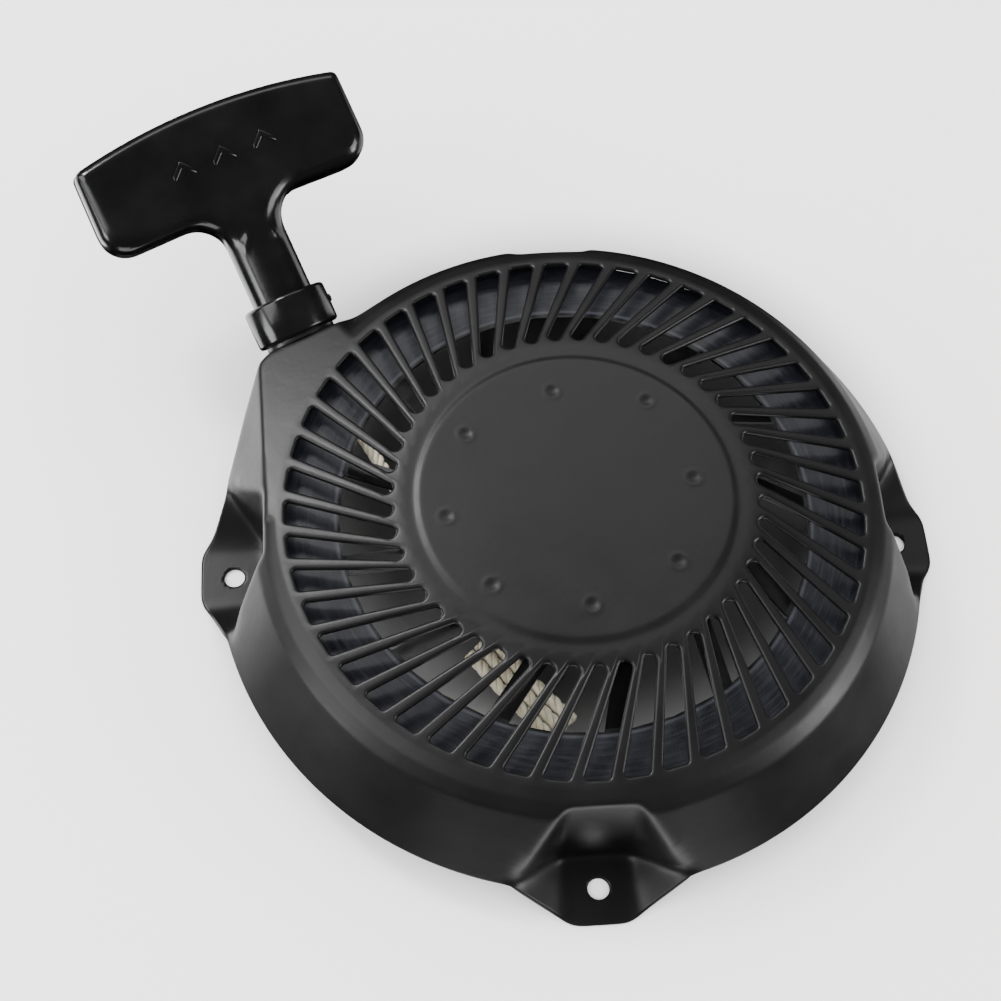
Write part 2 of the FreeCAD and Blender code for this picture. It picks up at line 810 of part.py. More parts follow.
def follower_track(half_width):
    """Plan of the slot in which one pawl's follower runs, as the plate turns on the pulley."""
    steps = 8
    middle = []
    for i in range(-1, steps + 2):
        share = i / steps
        pivot = V(SIZES["pawl_pivot_radius"], 0, 0)
        spot = pivot + polar(SIZES["follower_arm"], PAWL_REST + PAWL_SWING * share)
        spot = FreeCAD.Rotation(V(0, 0, 1), -PLATE_TURN * share).multVec(spot)
        middle.append(spot)
    left = []
    right = []
    for i in range(1, len(middle) - 1):
        way = (middle[i + 1] - middle[i - 1]).normalize()
        across = V(-way.y, way.x, 0) * half_width
        left.append(middle[i] + across)
        right.append(middle[i] - across)
    first = (middle[1] - middle[2]).normalize() * half_width
    last = (middle[-2] - middle[-3]).normalize() * half_width
    start = [middle[1] + first]
    end = [middle[-2] + last]
    return left + end + right[::-1] + start


def make_friction_plate():
    """Plate with two curved tracks that swing the pawls out as the pulley turns."""
    body = new_body("friction_plate")
    sketch = new_sketch(body, "plate_plan", "XY_Plane", cell("plate_bottom"))
    add_circle(sketch, 0.0, 0.0, cell("plate_radius"))
    add_circle(sketch, 0.0, 0.0, cell("post_radius") + 0.09)
    pad(body, sketch, "plate", cell("plate_top") - cell("plate_bottom"))
    track = new_sketch(body, "track_plan", "XY_Plane", cell("plate_bottom") - 1.0)
    add_outline(track, [(p.x, p.y) for p in follower_track(SIZES["follower_radius"] + 0.9)])
    cutter = pocket(body, track, "track", 6.0, reverse=True)
    repeat_round(body, cutter, 2)
    return body


def make_brake_spring():
    item = torus("brake_spring", 8.4, 0.9, cell("post_bottom") + 0.95)
    item.Label = "brake_spring"
    return item


# ------------------------------------------------------------------------------- handle


def make_eyelet():
    """Nylon eyelet in the exit face, with a flange each side and a nose for the seat."""
    body = new_body("rope_eyelet")
    wall = -(HANDLE_FOOT.dot(handle_way()) - EXIT_FACE)
    back = wall - SIZES["sheet"]
    bore = cell("rope_radius") + 0.5
    revolve(
        body,
        "eyelet",
        [
            (bore + 1.2, back - 2.4),
            (5.7, back - 2.4),
            (5.7, back - 0.05),
            (5.0, back - 0.05),
            (5.0, wall + 0.05),
            (12.6, wall + 0.05),
            (12.6, -cell("seat_foot") - 0.05),
            (6.0, -cell("seat_foot") - 0.05),
            (6.0, cell("seat_floor") - 0.05),
            (bore, cell("seat_floor") - 0.05),
            (bore, back),
        ],
        "XY_Plane",
    )
    body.Placement = handle_placement()
    return body


def make_seat():
    """Plastic collar on the eyelet that the handle's neck drops into."""
    body = new_body("handle_seat")
    revolve(
        body,
        "collar",
        [
            (6.05, -cell("seat_foot")),
            (cell("seat_radius") - 1.0, -cell("seat_foot")),
            (cell("seat_radius"), 1.0 - cell("seat_foot")),
            (cell("seat_radius"), cell("seat_length") - 1.2),
            (cell("seat_radius") - 1.2, cell("seat_length")),
            (cell("seat_bore"), cell("seat_length")),
            (cell("seat_bore"), cell("seat_floor")),
            (6.05, cell("seat_floor")),
        ],
        "XY_Plane",
    )
    gate = new_sketch(body, "gate_plan", "YZ_Plane", SIZES["seat_radius"] - 0.6)
    add_circle(gate, cell("seat_length") / 2, 0.0, 1.3)
    pad(body, gate, "gate_mark", 1.3)
    body.Placement = handle_placement()
    return body


def make_rope_lead():
    """The end of the rope, from the eyelet up the neck to the knot."""
    item = doc.addObject("Part::Cylinder", "rope_lead")
    item.Label = "rope_lead"
    item.Radius = SIZES["rope_radius"]
    bind(item, "Radius", cell("rope_radius"))
    item.Height = SIZES["knot_floor"] + 2.0
    bind(item, "Height", cell("knot_floor") + 2.0)
    item.Placement = along_handle(-0.9)
    return item


def along_handle(start):
    """Placement of a primitive whose own axis is Z, so that it runs along the pull."""
    stand = FreeCAD.Placement(V(0, start, 0), FreeCAD.Rotation(V(1, 0, 0), -90))
    return handle_placement().multiply(stand)


def make_rope_stop():
    """Steel washer under the knot."""
    body = new_body("rope_stop")
    floor = cell("knot_floor")
    revolve(
        body,
        "stop",
        [
            (cell("rope_radius") + 0.1, floor),
            (cell("knot_bore") - 0.4, floor),
            (cell("knot_bore") - 0.4, floor + 1.0),
            (cell("rope_radius") + 0.1, floor + 1.0),
        ],
        "XY_Plane",
    )
    body.Placement = handle_placement()
    return body


def make_handle_knot():
    """Knot at the rope's end, as a rounded lump."""
    body = new_body("handle_knot")
    floor = cell("knot_floor") + 1.1
    revolve(
        body,
        "knot",
        [
            (0.0, floor),
            (4.2, floor),
            (6.2, floor + 2.2),
            (6.6, floor + 5.0),
            (5.4, floor + 8.4),
            (3.0, floor + 10.4),
            (0.0, floor + 11.0),
        ],
        "XY_Plane",
    )
    body.Placement = handle_placement()
    return body


def make_grip():
    """T-shaped grip: a slab with an arched top on a round neck, with a knot room open behind."""
    body = new_body("grip")
    slab = new_sketch(body, "slab_plan", "XY_Plane")
    half = cell("grip_half_width")
    bottom = cell("grip_bottom")
    right = [
        (cell("neck_radius") - 0.6, bottom - 14.0),
        (cell("neck_radius") + 0.6, bottom - 8.0),
        (cell("neck_radius") + 3.6, bottom - 3.0),
        (cell("neck_radius") + 9.0, bottom),
        (half - 8.0, bottom),
        (half - 2.4, bottom + 2.4),
        (half, bottom + 8.0),
        (half - 0.4, cell("grip_side_top") - 2.5),
        (half - 3.0, cell("grip_side_top") + 0.5),
        (half * 0.5, cell("grip_mid_top") - 1.3),
        (0.0, cell("grip_mid_top")),
    ]
    left = [(-x, y) for x, y in reversed(right[:-1])]
    add_outline(slab, right + left)
    pad(body, slab, "slab", cell("grip_thickness"), both=True)
    revolve(
        body,
        "neck",
        [
            (0.0, cell("neck_start")),
            (cell("neck_radius") - 1.0, cell("neck_start")),
            (cell("neck_radius"), cell("neck_start") + 1.0),
            (cell("neck_radius"), bottom + 6.0),
            (0.0, bottom + 8.0),
        ],
        "XY_Plane",
    )
    bored = new_sketch(body, "rope_bore_plan", "XZ_Plane")
    add_circle(bored, 0.0, 0.0, cell("rope_radius") + 0.6)
    pocket(body, bored, "rope_bore", cell("knot_floor") + 5.0)
    chamber = new_sketch(body, "knot_room_plan", "XY_Plane", cell("knot_bore"))
    room = cell("knot_bore")
    floor = cell("knot_floor")
    add_outline(chamber, [(-room, floor), (room, floor), (room, floor + 15.0), (-room, floor + 15.0)])
    pocket(body, chamber, "knot_room", 40.0)
    body.Placement = handle_placement()
    return body


# -------------------------------------------------------------------------------- output

subparts = [
    make_shell(),
    make_guard(),
    make_hub_post(),
    make_screw(),
    make_washer(),
    make_spring(),
    make_pulley(),
    make_spring_cover(),
    make_cover_screws(),
    make_winding(),
    make_rope_run(),
    make_rope_tail(),
    make_pawl("pawl_a", 1),
    make_pawl("pawl_b", -1),
    make_pawl_pins(),
    make_pawl_springs(),
    make_friction_plate(),
    make_brake_spring(),
    make_eyelet(),
    make_seat(),
    make_rope_lead(),
    make_rope_stop(),
    make_handle_knot(),
    make_grip(),
]
doc.recompute()

for item in doc.Objects:
    if {"Invalid", "Error"} & set(item.State):
        raise RuntimeError(f"{item.Name} did not compute: {item.State}")
for item in subparts:
    if item.Shape.isNull() or not item.Shape.isValid():
        raise RuntimeError(f"{item.Label} has no valid shape")
    print(item.Label, len(item.Shape.Solids), "solid,", round(item.Shape.Volume), "mm3")
for item in subparts:
    item.Shape.exportStep(f"parts/{item.Label}.step")
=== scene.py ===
import math

import bmesh
import bpy
import numpy as np
from mathutils import Matrix, Vector


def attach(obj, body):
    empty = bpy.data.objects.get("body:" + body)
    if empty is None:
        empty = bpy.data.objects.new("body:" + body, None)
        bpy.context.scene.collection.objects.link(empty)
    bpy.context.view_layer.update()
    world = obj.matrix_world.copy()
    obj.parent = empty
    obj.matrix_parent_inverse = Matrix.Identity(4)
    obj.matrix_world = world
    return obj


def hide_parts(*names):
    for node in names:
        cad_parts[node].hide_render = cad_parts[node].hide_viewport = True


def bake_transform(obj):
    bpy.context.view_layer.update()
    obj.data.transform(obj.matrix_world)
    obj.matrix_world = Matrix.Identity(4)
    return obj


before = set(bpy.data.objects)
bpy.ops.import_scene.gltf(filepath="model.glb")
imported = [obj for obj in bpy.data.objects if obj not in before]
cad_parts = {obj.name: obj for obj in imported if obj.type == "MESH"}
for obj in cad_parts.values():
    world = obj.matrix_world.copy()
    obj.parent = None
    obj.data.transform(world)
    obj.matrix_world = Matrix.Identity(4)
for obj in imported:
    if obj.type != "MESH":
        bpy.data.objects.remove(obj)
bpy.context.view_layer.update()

MM = 0.001

# ---- sizes, in millimetres

SHEET = 1.2
SECTORS = 48
SECTOR = 360.0 / SECTORS
SLOT_INNER = 60.1
SLOT_OUTER = 95.0
SLOT_ANGLE = 2.84
SLOT_SWEEP = -11.37
SLOT_TIP_HALF = 2.05
SLOT_END_HALF = 4.15
SLOT_END_RADIUS = 1.3
DISC_TOP = 52.6
DISC_STEP = (51.1, 52.9)
GRILLE_TOP = 52.0
GRILLE_IN = 56.5
GRILLE_OUT = 97.8
RIM = (98.0, 45.7)
EDGE = (101.8, 44.0)
SHOULDER = (105.6, 40.5)
SKIRT = (120.7, 14.0)
SLOPE = (GRILLE_TOP - RIM[1]) / (RIM[0] - SLOT_INNER)
EAR_ANGLES = (0.0, 90.0, 180.0, 270.0)
EAR_END = 128.0
HOLE_CIRCLE = 116.5
HOLE_RADIUS = 3.55
POCKET_SPREAD = 13.3
POCKET_CEILING = 43.2
POCKET_TOP = 102.4
POCKET_FOOT = 105.6
POCKET_HALF = 11.2
POCKET_TOP_HALF = POCKET_HALF - 0.3
POCKET_FOOT_HALF = POCKET_HALF + 0.6
TAB_CORNER = (124.6, 13.2)
TAB_SIDE = (125.6, 13.0)
TAB_CHAMFER = (3.7, 2.4)
HANDLE_TURN = math.radians(25.0)
HANDLE_TILT = math.radians(30.0)
HANDLE_FOOT = Vector((-90.5, 79.2, 33.0))
PULL_X = -math.sin(HANDLE_TURN) * math.cos(HANDLE_TILT)
PULL_Y = math.cos(HANDLE_TURN) * math.cos(HANDLE_TILT)
PULL = Vector((PULL_X, PULL_Y, math.sin(HANDLE_TILT)))
EXIT_FACE = 109.4
BOSS_ANGLES = (95.0, 180.0)
BOSS_RIGHT = Vector((-74.0, 75.5, 44.0))
BOSS_RIGHT_LEAN = 0.45
BOSS_CORNER = Vector((-103.3, 62.4, 42.9))
BOSS_LEFT = Vector((-103.2, 12.0, 42.9))
BOSS_FEET = (Vector((-119.8, 20.0, 14.0)), Vector((-110.3, 64.0, 14.0)), Vector((-97.0, 79.0, 14.0)))

# How many steps each stretch of a slot's outline and of its sector's border takes.
INNER_STEPS = 12
OUTER_STEPS = 16
SIDE_STEPS = 13
CORNER_STEPS = 3


def polar(radius, angle, z=0.0):
    """A point by its distance from the axis, its direction in degrees and its height."""
    a = math.radians(angle)
    return Vector((radius * math.cos(a), radius * math.sin(a), z))


# ---- camera, lights

CAMERA_AIM = Vector((-24.80, -1.32, 52.0))
CAMERA_DISTANCE = 555.7
CAMERA_RISE = math.radians(62.398)
CAMERA_ROLL = math.radians(2.469)
CAMERA_SWING = math.radians(-6.0)
CAMERA_LENS = 61.67


def add_camera():
    """Camera at the photograph's viewing angle."""
    right = Vector((1, 0, 0))
    back = Vector((0, -math.cos(CAMERA_RISE), math.sin(CAMERA_RISE)))
    up = back.cross(right)
    rolled_right = right * math.cos(CAMERA_ROLL) + up * math.sin(CAMERA_ROLL)
    rolled_up = up * math.cos(CAMERA_ROLL) - right * math.sin(CAMERA_ROLL)
    swing = Matrix.Rotation(CAMERA_SWING, 3, "Z")
    turn = Matrix((swing @ rolled_right, swing @ rolled_up, swing @ back)).transposed()
    place = CAMERA_AIM * MM + (swing @ back) * (CAMERA_DISTANCE * MM)
    data = bpy.data.cameras.new("camera")
    data.lens = CAMERA_LENS
    data.sensor_width = 36.0
    data.clip_start = 0.01
    data.clip_end = 50.0
    camera = bpy.data.objects.new("camera", data)
    camera.matrix_world = Matrix.Translation(place) @ turn.to_4x4()
    bpy.context.collection.objects.link(camera)
    bpy.context.scene.camera = camera


# The tent's brightness, and how far up the ceiling begins, as a share of the way to the zenith.
WALL_STRENGTH = 0.8
CEILING_STRENGTH = 2.7
CEILING_START = 0.6

# Each light's name, place, width and height in metres, and power in watts.
LIGHT_AIM = (0, 0, 0.03)
LIGHTS = [
    ("key_left", (-1.1, -0.2, 0.9), 0.9, 0.9, 10.0),
    ("key_back", (-0.75, 0.75, 1.25), 0.3, 0.3, 15.0),
    ("back_top", (0.1, 1.2, 1.6), 1.6, 0.7, 7.0),
    ("right_low", (1.3, -0.4, 0.55), 0.7, 0.7, 8.0),
    ("card_left", (-0.80, 0.50, -0.42), 0.9, 0.9, 8.0),
    ("card_right", (0.85, 0.45, -0.45), 0.9, 0.9, 3.5),
    ("card_front", (0.0, -0.62, -0.50), 1.0, 0.5, 4.0),
    ("strip_left", (-1.1, -0.45, 0.10), 0.35, 0.4, 3.5),
    ("strip_right", (1.1, -0.45, 0.10), 0.35, 0.4, 3.5),
]


def add_light(name, place, width, height, power):
    """A soft white area light, aimed at the part and not seen by the camera."""
    data = bpy.data.lights.new(name, "AREA")
    data.shape = "RECTANGLE"
    data.size = width
    data.size_y = height
    data.energy = power
    light = bpy.data.objects.new(name, data)
    light.location = place
    way = Vector(LIGHT_AIM) - Vector(place)
    light.rotation_euler = way.to_track_quat("-Z", "Y").to_euler()
    light.visible_camera = False
    bpy.context.collection.objects.link(light)


def add_tent():
    """The world as a light tent, from dim walls to a bright ceiling."""
    world = bpy.data.worlds.new("studio")
    world.use_nodes = True
    tree = world.node_tree
    background = tree.nodes["Background"]
    background.inputs["Color"].default_value = (1.0, 1.0, 1.0, 1.0)
    where = tree.nodes.new("ShaderNodeTexCoord")
    split = tree.nodes.new("ShaderNodeSeparateXYZ")
    rise = tree.nodes.new("ShaderNodeMapRange")
    rise.interpolation_type = "SMOOTHSTEP"
    rise.inputs["From Min"].default_value = 0.0
    rise.inputs["From Max"].default_value = CEILING_START
    rise.inputs["To Min"].default_value = WALL_STRENGTH
    rise.inputs["To Max"].default_value = CEILING_STRENGTH
    tree.links.new(where.outputs["Generated"], split.inputs["Vector"])
    tree.links.new(split.outputs["Z"], rise.inputs["Value"])
    tree.links.new(rise.outputs["Result"], background.inputs["Strength"])
    world.cycles_visibility.glossy = False
    bpy.context.scene.world = world


def add_studio():
    """The tent, the floor and the lights, with cards below the floor's level that stand for the
    floor in the part's reflections."""
    add_tent()
    bpy.ops.mesh.primitive_plane_add(size=8.0, location=(0, 0, 0))
    floor = bpy.context.active_object
    floor.name = "floor"
    floor.visible_glossy = False
    floor.data.materials.append(floor_material())
    for light in LIGHTS:
        add_light(*light)


# ---- materials


class Shader:
    """A small helper around one node material."""

    def __init__(self, name):
        self.material = bpy.data.materials.new(name)
        self.material.use_nodes = True
        self.tree = self.material.node_tree
        self.bsdf = self.tree.nodes["Principled BSDF"]
        self.coordinates = self.add("ShaderNodeTexCoord").outputs["Object"]

    def add(self, kind):
        return self.tree.nodes.new(kind)

    def link(self, out, into):
        self.tree.links.new(out, into)

    def set(self, **values):
        for name, value in values.items():
            self.bsdf.inputs[name.replace("_", " ")].default_value = value

    def noise(self, scale, detail=3.0, roughness=0.5, stretch=None, where=None):
        """Noise over the object's own coordinates, or over another vector that is given."""
        node = self.add("ShaderNodeTexNoise")
        node.inputs["Scale"].default_value = scale
        node.inputs["Detail"].default_value = detail
        node.inputs["Roughness"].default_value = roughness
        where = where or self.coordinates
        if stretch:
            mapping = self.add("ShaderNodeMapping")
            mapping.inputs["Scale"].default_value = stretch
            self.link(where, mapping.inputs["Vector"])
            where = mapping.outputs["Vector"]
        self.link(where, node.inputs["Vector"])
        return node.outputs["Fac"]

    def ramp(self, source, stops):
        """Colours, or greys given as one number, at places along the source's value."""
        node = self.add("ShaderNodeValToRGB")
        elements = node.color_ramp.elements
        while len(elements) < len(stops):
            elements.new(0.5)
        for element, (place, color) in zip(elements, stops):
            element.position = place
            element.color = (*color, 1.0) if isinstance(color, tuple) else (color, color, color, 1.0)
        self.link(source, node.inputs["Fac"])
        return node.outputs["Color"]

    def tones(self, source, dark, light):
        """Colours from dark to light over the middle of the source's values."""
        return self.ramp(source, [(0.3, dark), (0.7, light)])

    def span(self, source, low, high, start=0.3, end=0.7, kind="LINEAR"):
        """The source's values from start to end, moved to low to high."""
        node = self.add("ShaderNodeMapRange")
        node.interpolation_type = kind
        node.inputs["From Min"].default_value = start
        node.inputs["From Max"].default_value = end
        node.inputs["To Min"].default_value = low
        node.inputs["To Max"].default_value = high
        self.link(source, node.inputs["Value"])
        return node.outputs["Result"]

    def operate(self, kind, operation, *values):
        """A Math or VectorMath node, each input from a source or a constant vector."""
        node = self.add(kind)
        node.operation = operation
        for socket, value in zip(node.inputs, values):
            if isinstance(value, tuple):
                socket.default_value = value
            else:
                self.link(value, socket)
        return node

    def mix(self, share, first, second):
        """Two colours or sources mixed: all of the first at 0 and all of the second at 1."""
        node = self.add("ShaderNodeMix")
        node.data_type = "RGBA"
        self.link(share, node.inputs["Factor"])
        for socket, value in (("A", first), ("B", second)):
            if isinstance(value, tuple):
                node.inputs[socket].default_value = (*value, 1.0)
            else:
                self.link(value, node.inputs[socket])
        return node.outputs["Result"]

    def bump(self, source, distance, strength=1.0):
        """Add a bump to those that are there already."""
        node = self.add("ShaderNodeBump")
        node.inputs["Distance"].default_value = distance
        node.inputs["Strength"].default_value = strength
        self.link(source, node.inputs["Height"])
        before = self.bsdf.inputs["Normal"].links
        if before:
            self.link(before[0].from_socket, node.inputs["Normal"])
        self.link(node.outputs["Normal"], self.bsdf.inputs["Normal"])

    def color(self, source):
        self.link(source, self.bsdf.inputs["Base Color"])

    def roughness(self, source):
        self.link(source, self.bsdf.inputs["Roughness"])


# The floor's painted shade under the part, in metres: hidden from outside, and seen through the slots.
SHADE_CENTRE = (0.010, 0.030, 0.0)
SHADE_INNER = 0.074
SHADE_OUTER = 0.130
SHADE_LEFT = 0.07


def floor_material():
    """White paper, with a deep shade painted into it under the part's middle."""
    s = Shader("floor_white")
    away = s.operate("ShaderNodeVectorMath", "DISTANCE", s.coordinates, SHADE_CENTRE)
    light = s.span(away.outputs["Value"], SHADE_LEFT, 1.0, SHADE_INNER, SHADE_OUTER, "SMOOTHSTEP")
    paper = s.tones(s.noise(3.0, 2.0), 0.90, 0.92)
    # painted shade: the floor's colour goes to nearly black towards the part's middle
    s.color(s.mix(light, (0.0, 0.0, 0.0), paper))
    s.set(Roughness=0.9)
    return s.material


def shell_paint():
    """Satin black stoving paint with a faint warm tone, fine orange peel and handling marks."""
    s = Shader("shell_paint")
    dark = (0.0030, 0.0028, 0.0030)
    light = (0.0046, 0.0042, 0.0043)
    s.color(s.tones(s.noise(22.0, 5.0, 0.6), dark, light))
    s.roughness(s.span(s.noise(45.0, 6.0, 0.65), 0.36, 0.46))
    s.bump(s.noise(650.0, 2.0), 0.00003)
    s.bump(s.noise(60.0, 3.0, 0.5), 0.00012)
    s.set(Specular_IOR_Level=0.5)
    return s.material


# Distances from the axis, in metres, where the blue-grey of the guard's ring begins, leaving a painted
# shadow line along its inner edge, and where the painted highlight along its lip lies.
RING_START = (0.0781, 0.0784)
RING_LIP = (0.0780, 0.0810)


def guard_paint():
    """Blue-black paint, brushed round the ring, with a painted highlight along its inner lip, and
    near-black on the legs that runs onto the ring's inner edge as a painted shadow line.
    """
    s = Shader("guard_paint")
    split = s.add("ShaderNodeSeparateXYZ")
    s.link(s.coordinates, split.inputs["Vector"])
    angle = s.operate("ShaderNodeMath", "ARCTAN2", split.outputs["Y"], split.outputs["X"])
    flat = s.operate("ShaderNodeVectorMath", "MULTIPLY", s.coordinates, (1.0, 1.0, 0.0))
    radius = s.operate("ShaderNodeVectorMath", "LENGTH", flat.outputs["Vector"]).outputs["Value"]
    round_about = s.add("ShaderNodeCombineXYZ")
    s.link(radius, round_about.inputs["X"])
    s.link(angle.outputs["Value"], round_about.inputs["Y"])
    brushed = s.noise(9.0, 4.0, 0.5, (150.0, 0.7, 1.0), round_about.outputs["Vector"])
    scratches = s.ramp(brushed, [(0.45, 0.0), (0.8, 1.0)])
    dark = (0.0042, 0.0046, 0.0064)
    light = (0.0072, 0.0080, 0.0108)
    base = s.tones(s.noise(30.0, 5.0, 0.6), dark, light)
    ring = s.mix(scratches, base, (0.020, 0.022, 0.030))
    # painted highlight: a lighter band along the ring's inner lip, standing in for light on a rolled edge
    painted_lip_highlight = s.ramp(s.span(radius, 0.0, 1.0, *RING_LIP), [(0.1, 0.0), (0.25, 1.0), (0.35, 1.0), (0.6, 0.0)])
    ring = s.mix(painted_lip_highlight, ring, (0.030, 0.032, 0.040))
    # near-black inside the ring's start: the legs, plus a painted shadow line along the ring's inner edge
    s.color(s.mix(s.span(radius, 0.0, 1.0, *RING_START), (0.0016, 0.0016, 0.0018), ring))
    s.roughness(s.span(s.noise(120.0, 4.0), 0.28, 0.42))
    s.bump(s.noise(500.0, 3.0, 0.6, (6.0, 0.8, 1.0)), 0.00004)
    return s.material


def steel(name, color, rough, scale=240.0):
    """Bare or plated metal with fine marks, its grain finer as the scale goes up."""
    s = Shader(name)
    dark = tuple(c * 0.78 for c in color)
    s.color(s.tones(s.noise(scale * 0.4, 5.0, 0.6), dark, color))
    s.roughness(s.span(s.noise(scale, 4.0), rough - 0.08, rough + 0.1))
    s.set(Metallic=1.0)
    s.bump(s.noise(scale * 3, 3.0, 0.6, (1.0, 1.0, 5.0)), 0.00003)
    return s.material


def plastic(name, color, rough, grain=0.00002):
    """Moulded plastic with a thin gloss, a faint unevenness and a fine grain."""
    s = Shader(name)
    light = tuple(c * 1.5 + 0.0006 for c in color)
    s.color(s.tones(s.noise(55.0, 4.0, 0.6), color, light))
    s.roughness(s.span(s.noise(90.0, 5.0, 0.6), rough - 0.04, rough + 0.07))
    s.bump(s.noise(700.0, 2.0), grain)
    s.bump(s.noise(28.0, 2.0), 0.00025, 0.6)
    s.set(Coat_Weight=0.25, Coat_Roughness=0.12)
    return s.material


def rope_fibre():
    """Twisted nylon rope: off-white strands with fine fibres and grimy hollows."""
    s = Shader("rope_fibre")
    s.color(
        s.ramp(
            s.noise(240.0, 6.0, 0.65),
            [(0.25, (0.48, 0.42, 0.28)), (0.5, (0.76, 0.70, 0.53)), (0.75, (0.88, 0.84, 0.68))],
        )
    )
    s.roughness(s.span(s.noise(300.0, 3.0), 0.55, 0.8))
    s.bump(s.noise(1900.0, 3.0, 0.6, (1.0, 1.0, 3.0)), 0.00012)
    s.set(Sheen_Weight=0.25)
    return s.material


# ---- mesh building


def finish_mesh(name, vertices, faces, material, body, nodes=()):
    """A mesh object from points in millimetres, riding on a body and standing for CAD nodes."""
    mesh = bpy.data.meshes.new(name)
    mesh.from_pydata([tuple(v) for v in np.asarray(vertices) * MM], [], faces)
    mesh.update()
    mesh.shade_smooth()
    mesh.materials.append(material)
    piece = bpy.data.objects.new(name, mesh)
    bpy.context.collection.objects.link(piece)
    if body:
        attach(piece, body)
    if nodes:
        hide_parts(*nodes)
    return piece


def grid_faces(rows, columns, start=0, flip=False):
    """Quads over a grid of rows by columns of points that closes round its columns."""
    faces = []
    for r in range(rows - 1):
        above = start + r * columns
        below = above + columns
        for c in range(columns):
            d = (c + 1) % columns
            quad = (above + c, above + d, below + d, below + c)
            faces.append(quad[::-1] if flip else quad)
    return faces


def bell(reach, width):
    """Weights of a Gaussian that add up to one."""
    weights = np.exp(-0.5 * (np.arange(-reach, reach + 1) / width) ** 2)
    return weights / weights.sum()


def smooth_profile():
    """Height of the grille's top against radius, with soft steps."""
    end = 104.0
    per_mm = 20
    reach = 3 * per_mm
    radius = np.linspace(0.0, end, int(end) * per_mm + 1)
    height = np.interp(
        radius,
        [0.0, *DISC_STEP, SLOT_INNER - 2.0, RIM[0], end],
        [DISC_TOP, DISC_TOP, GRILLE_TOP, GRILLE_TOP, RIM[1], RIM[1] - SLOPE * (end - RIM[0])],
    )
    padded = np.pad(height, reach, mode="edge")
    return radius, np.convolve(padded, bell(reach, 0.45 * per_mm), mode="valid")


PROFILE = smooth_profile()


def top_height(radius):
    """Height of the cover's top at a distance from the axis."""
    return np.interp(radius, *PROFILE)


# The slot's middle line: its two ends and its direction.
SLOT_START = polar(SLOT_INNER, 0.0)
SLOT_STOP = polar(SLOT_OUTER, SLOT_SWEEP)
SLOT_WAY = (SLOT_STOP - SLOT_START).normalized()


def slot_angle_at(radius):
    """Angle of the slot's own middle line at a radius, in degrees from its inner end."""
    along = SLOT_START.dot(SLOT_WAY)
    reach = -along + math.sqrt(along**2 - SLOT_INNER**2 + radius**2)
    spot = SLOT_START + SLOT_WAY * reach
    return math.degrees(math.atan2(spot.y, spot.x))


def corner_arc(before, corner, after, radius, steps):
    """Points of a fillet at a corner, both ends included."""
    into = (before - corner).normalized()
    out = (after - corner).normalized()
    half = into.angle(out) / 2
    reach = radius / math.tan(half)
    centre = corner + (into + out).normalized() * (radius / math.sin(half))
    first = corner + into * reach - centre
    last = corner + out * reach - centre
    turn = first.to_2d().angle_signed(last.to_2d())
    return [
        centre + Matrix.Rotation(-turn * i / steps, 3, "Z") @ first for i in range(steps + 1)
    ]


def straight(a, b, steps):
    """Points from a towards b, without b itself."""
    return [a.lerp(b, i / steps) for i in range(steps)]


def slot_outline():
    """Outline of one slot about its own angle, from its inner end, with its steps in four groups."""
    across = Vector((-SLOT_WAY.y, SLOT_WAY.x, 0))
    rim = polar(1.0, SLOT_SWEEP + 90.0)
    a = SLOT_START + across * SLOT_TIP_HALF
    b = SLOT_START - across * SLOT_TIP_HALF
    c = SLOT_STOP - rim * SLOT_END_HALF
    d = SLOT_STOP + rim * SLOT_END_HALF
    tip_radius = SLOT_TIP_HALF * 0.93
    tip_a = corner_arc(d, a, b, tip_radius, INNER_STEPS // 2)
    tip_b = corner_arc(a, b, c, tip_radius, INNER_STEPS // 2)
    end_c = corner_arc(b, c, d, SLOT_END_RADIUS, CORNER_STEPS * 2)
    end_d = corner_arc(c, d, a, SLOT_END_RADIUS, CORNER_STEPS * 2)
    points = tip_a[:-1] + tip_b[:-1]
    points += straight(tip_b[-1], end_c[0], SIDE_STEPS) + end_c[:-1]
    points += straight(end_c[-1], end_d[0], OUTER_STEPS - 2 * CORNER_STEPS) + end_d[:-1]
    points += straight(end_d[-1], tip_a[0], SIDE_STEPS)
    return np.array([(p.x, p.y) for p in points])


def sector_outline(outline):
    """Border of one slot's sector, point for point with the slot's outline."""
    side = SIDE_STEPS + CORNER_STEPS
    radius = np.hypot(outline[:, 0], outline[:, 1])
    count = len(outline)
    border = np.zeros((count, 2))
    bottom = slot_angle_at(GRILLE_IN)
    top = slot_angle_at(GRILLE_OUT)

    def place(index, r, angle):
        border[index] = polar(r, angle).to_2d()

    for i in range(INNER_STEPS + 1):
        place(i, GRILLE_IN, bottom + SECTOR * (0.5 - i / INNER_STEPS))
    right = range(INNER_STEPS, INNER_STEPS + side + 1)
    for i in right:
        share = (radius[i] - radius[right[0]]) / (radius[right[-1]] - radius[right[0]])
        r = GRILLE_IN + (GRILLE_OUT - GRILLE_IN) * share
        place(i, r, slot_angle_at(r) - SECTOR / 2)
    start = INNER_STEPS + side
    for i in range(OUTER_STEPS + 1):
        place(start + i, GRILLE_OUT, top + SECTOR * (i / OUTER_STEPS - 0.5))
    start += OUTER_STEPS
    for i in range(side):
        mirror = right[-1 - i]
        r = math.hypot(*border[mirror])
        place(start + i, r, slot_angle_at(r) + SECTOR / 2)
    return border


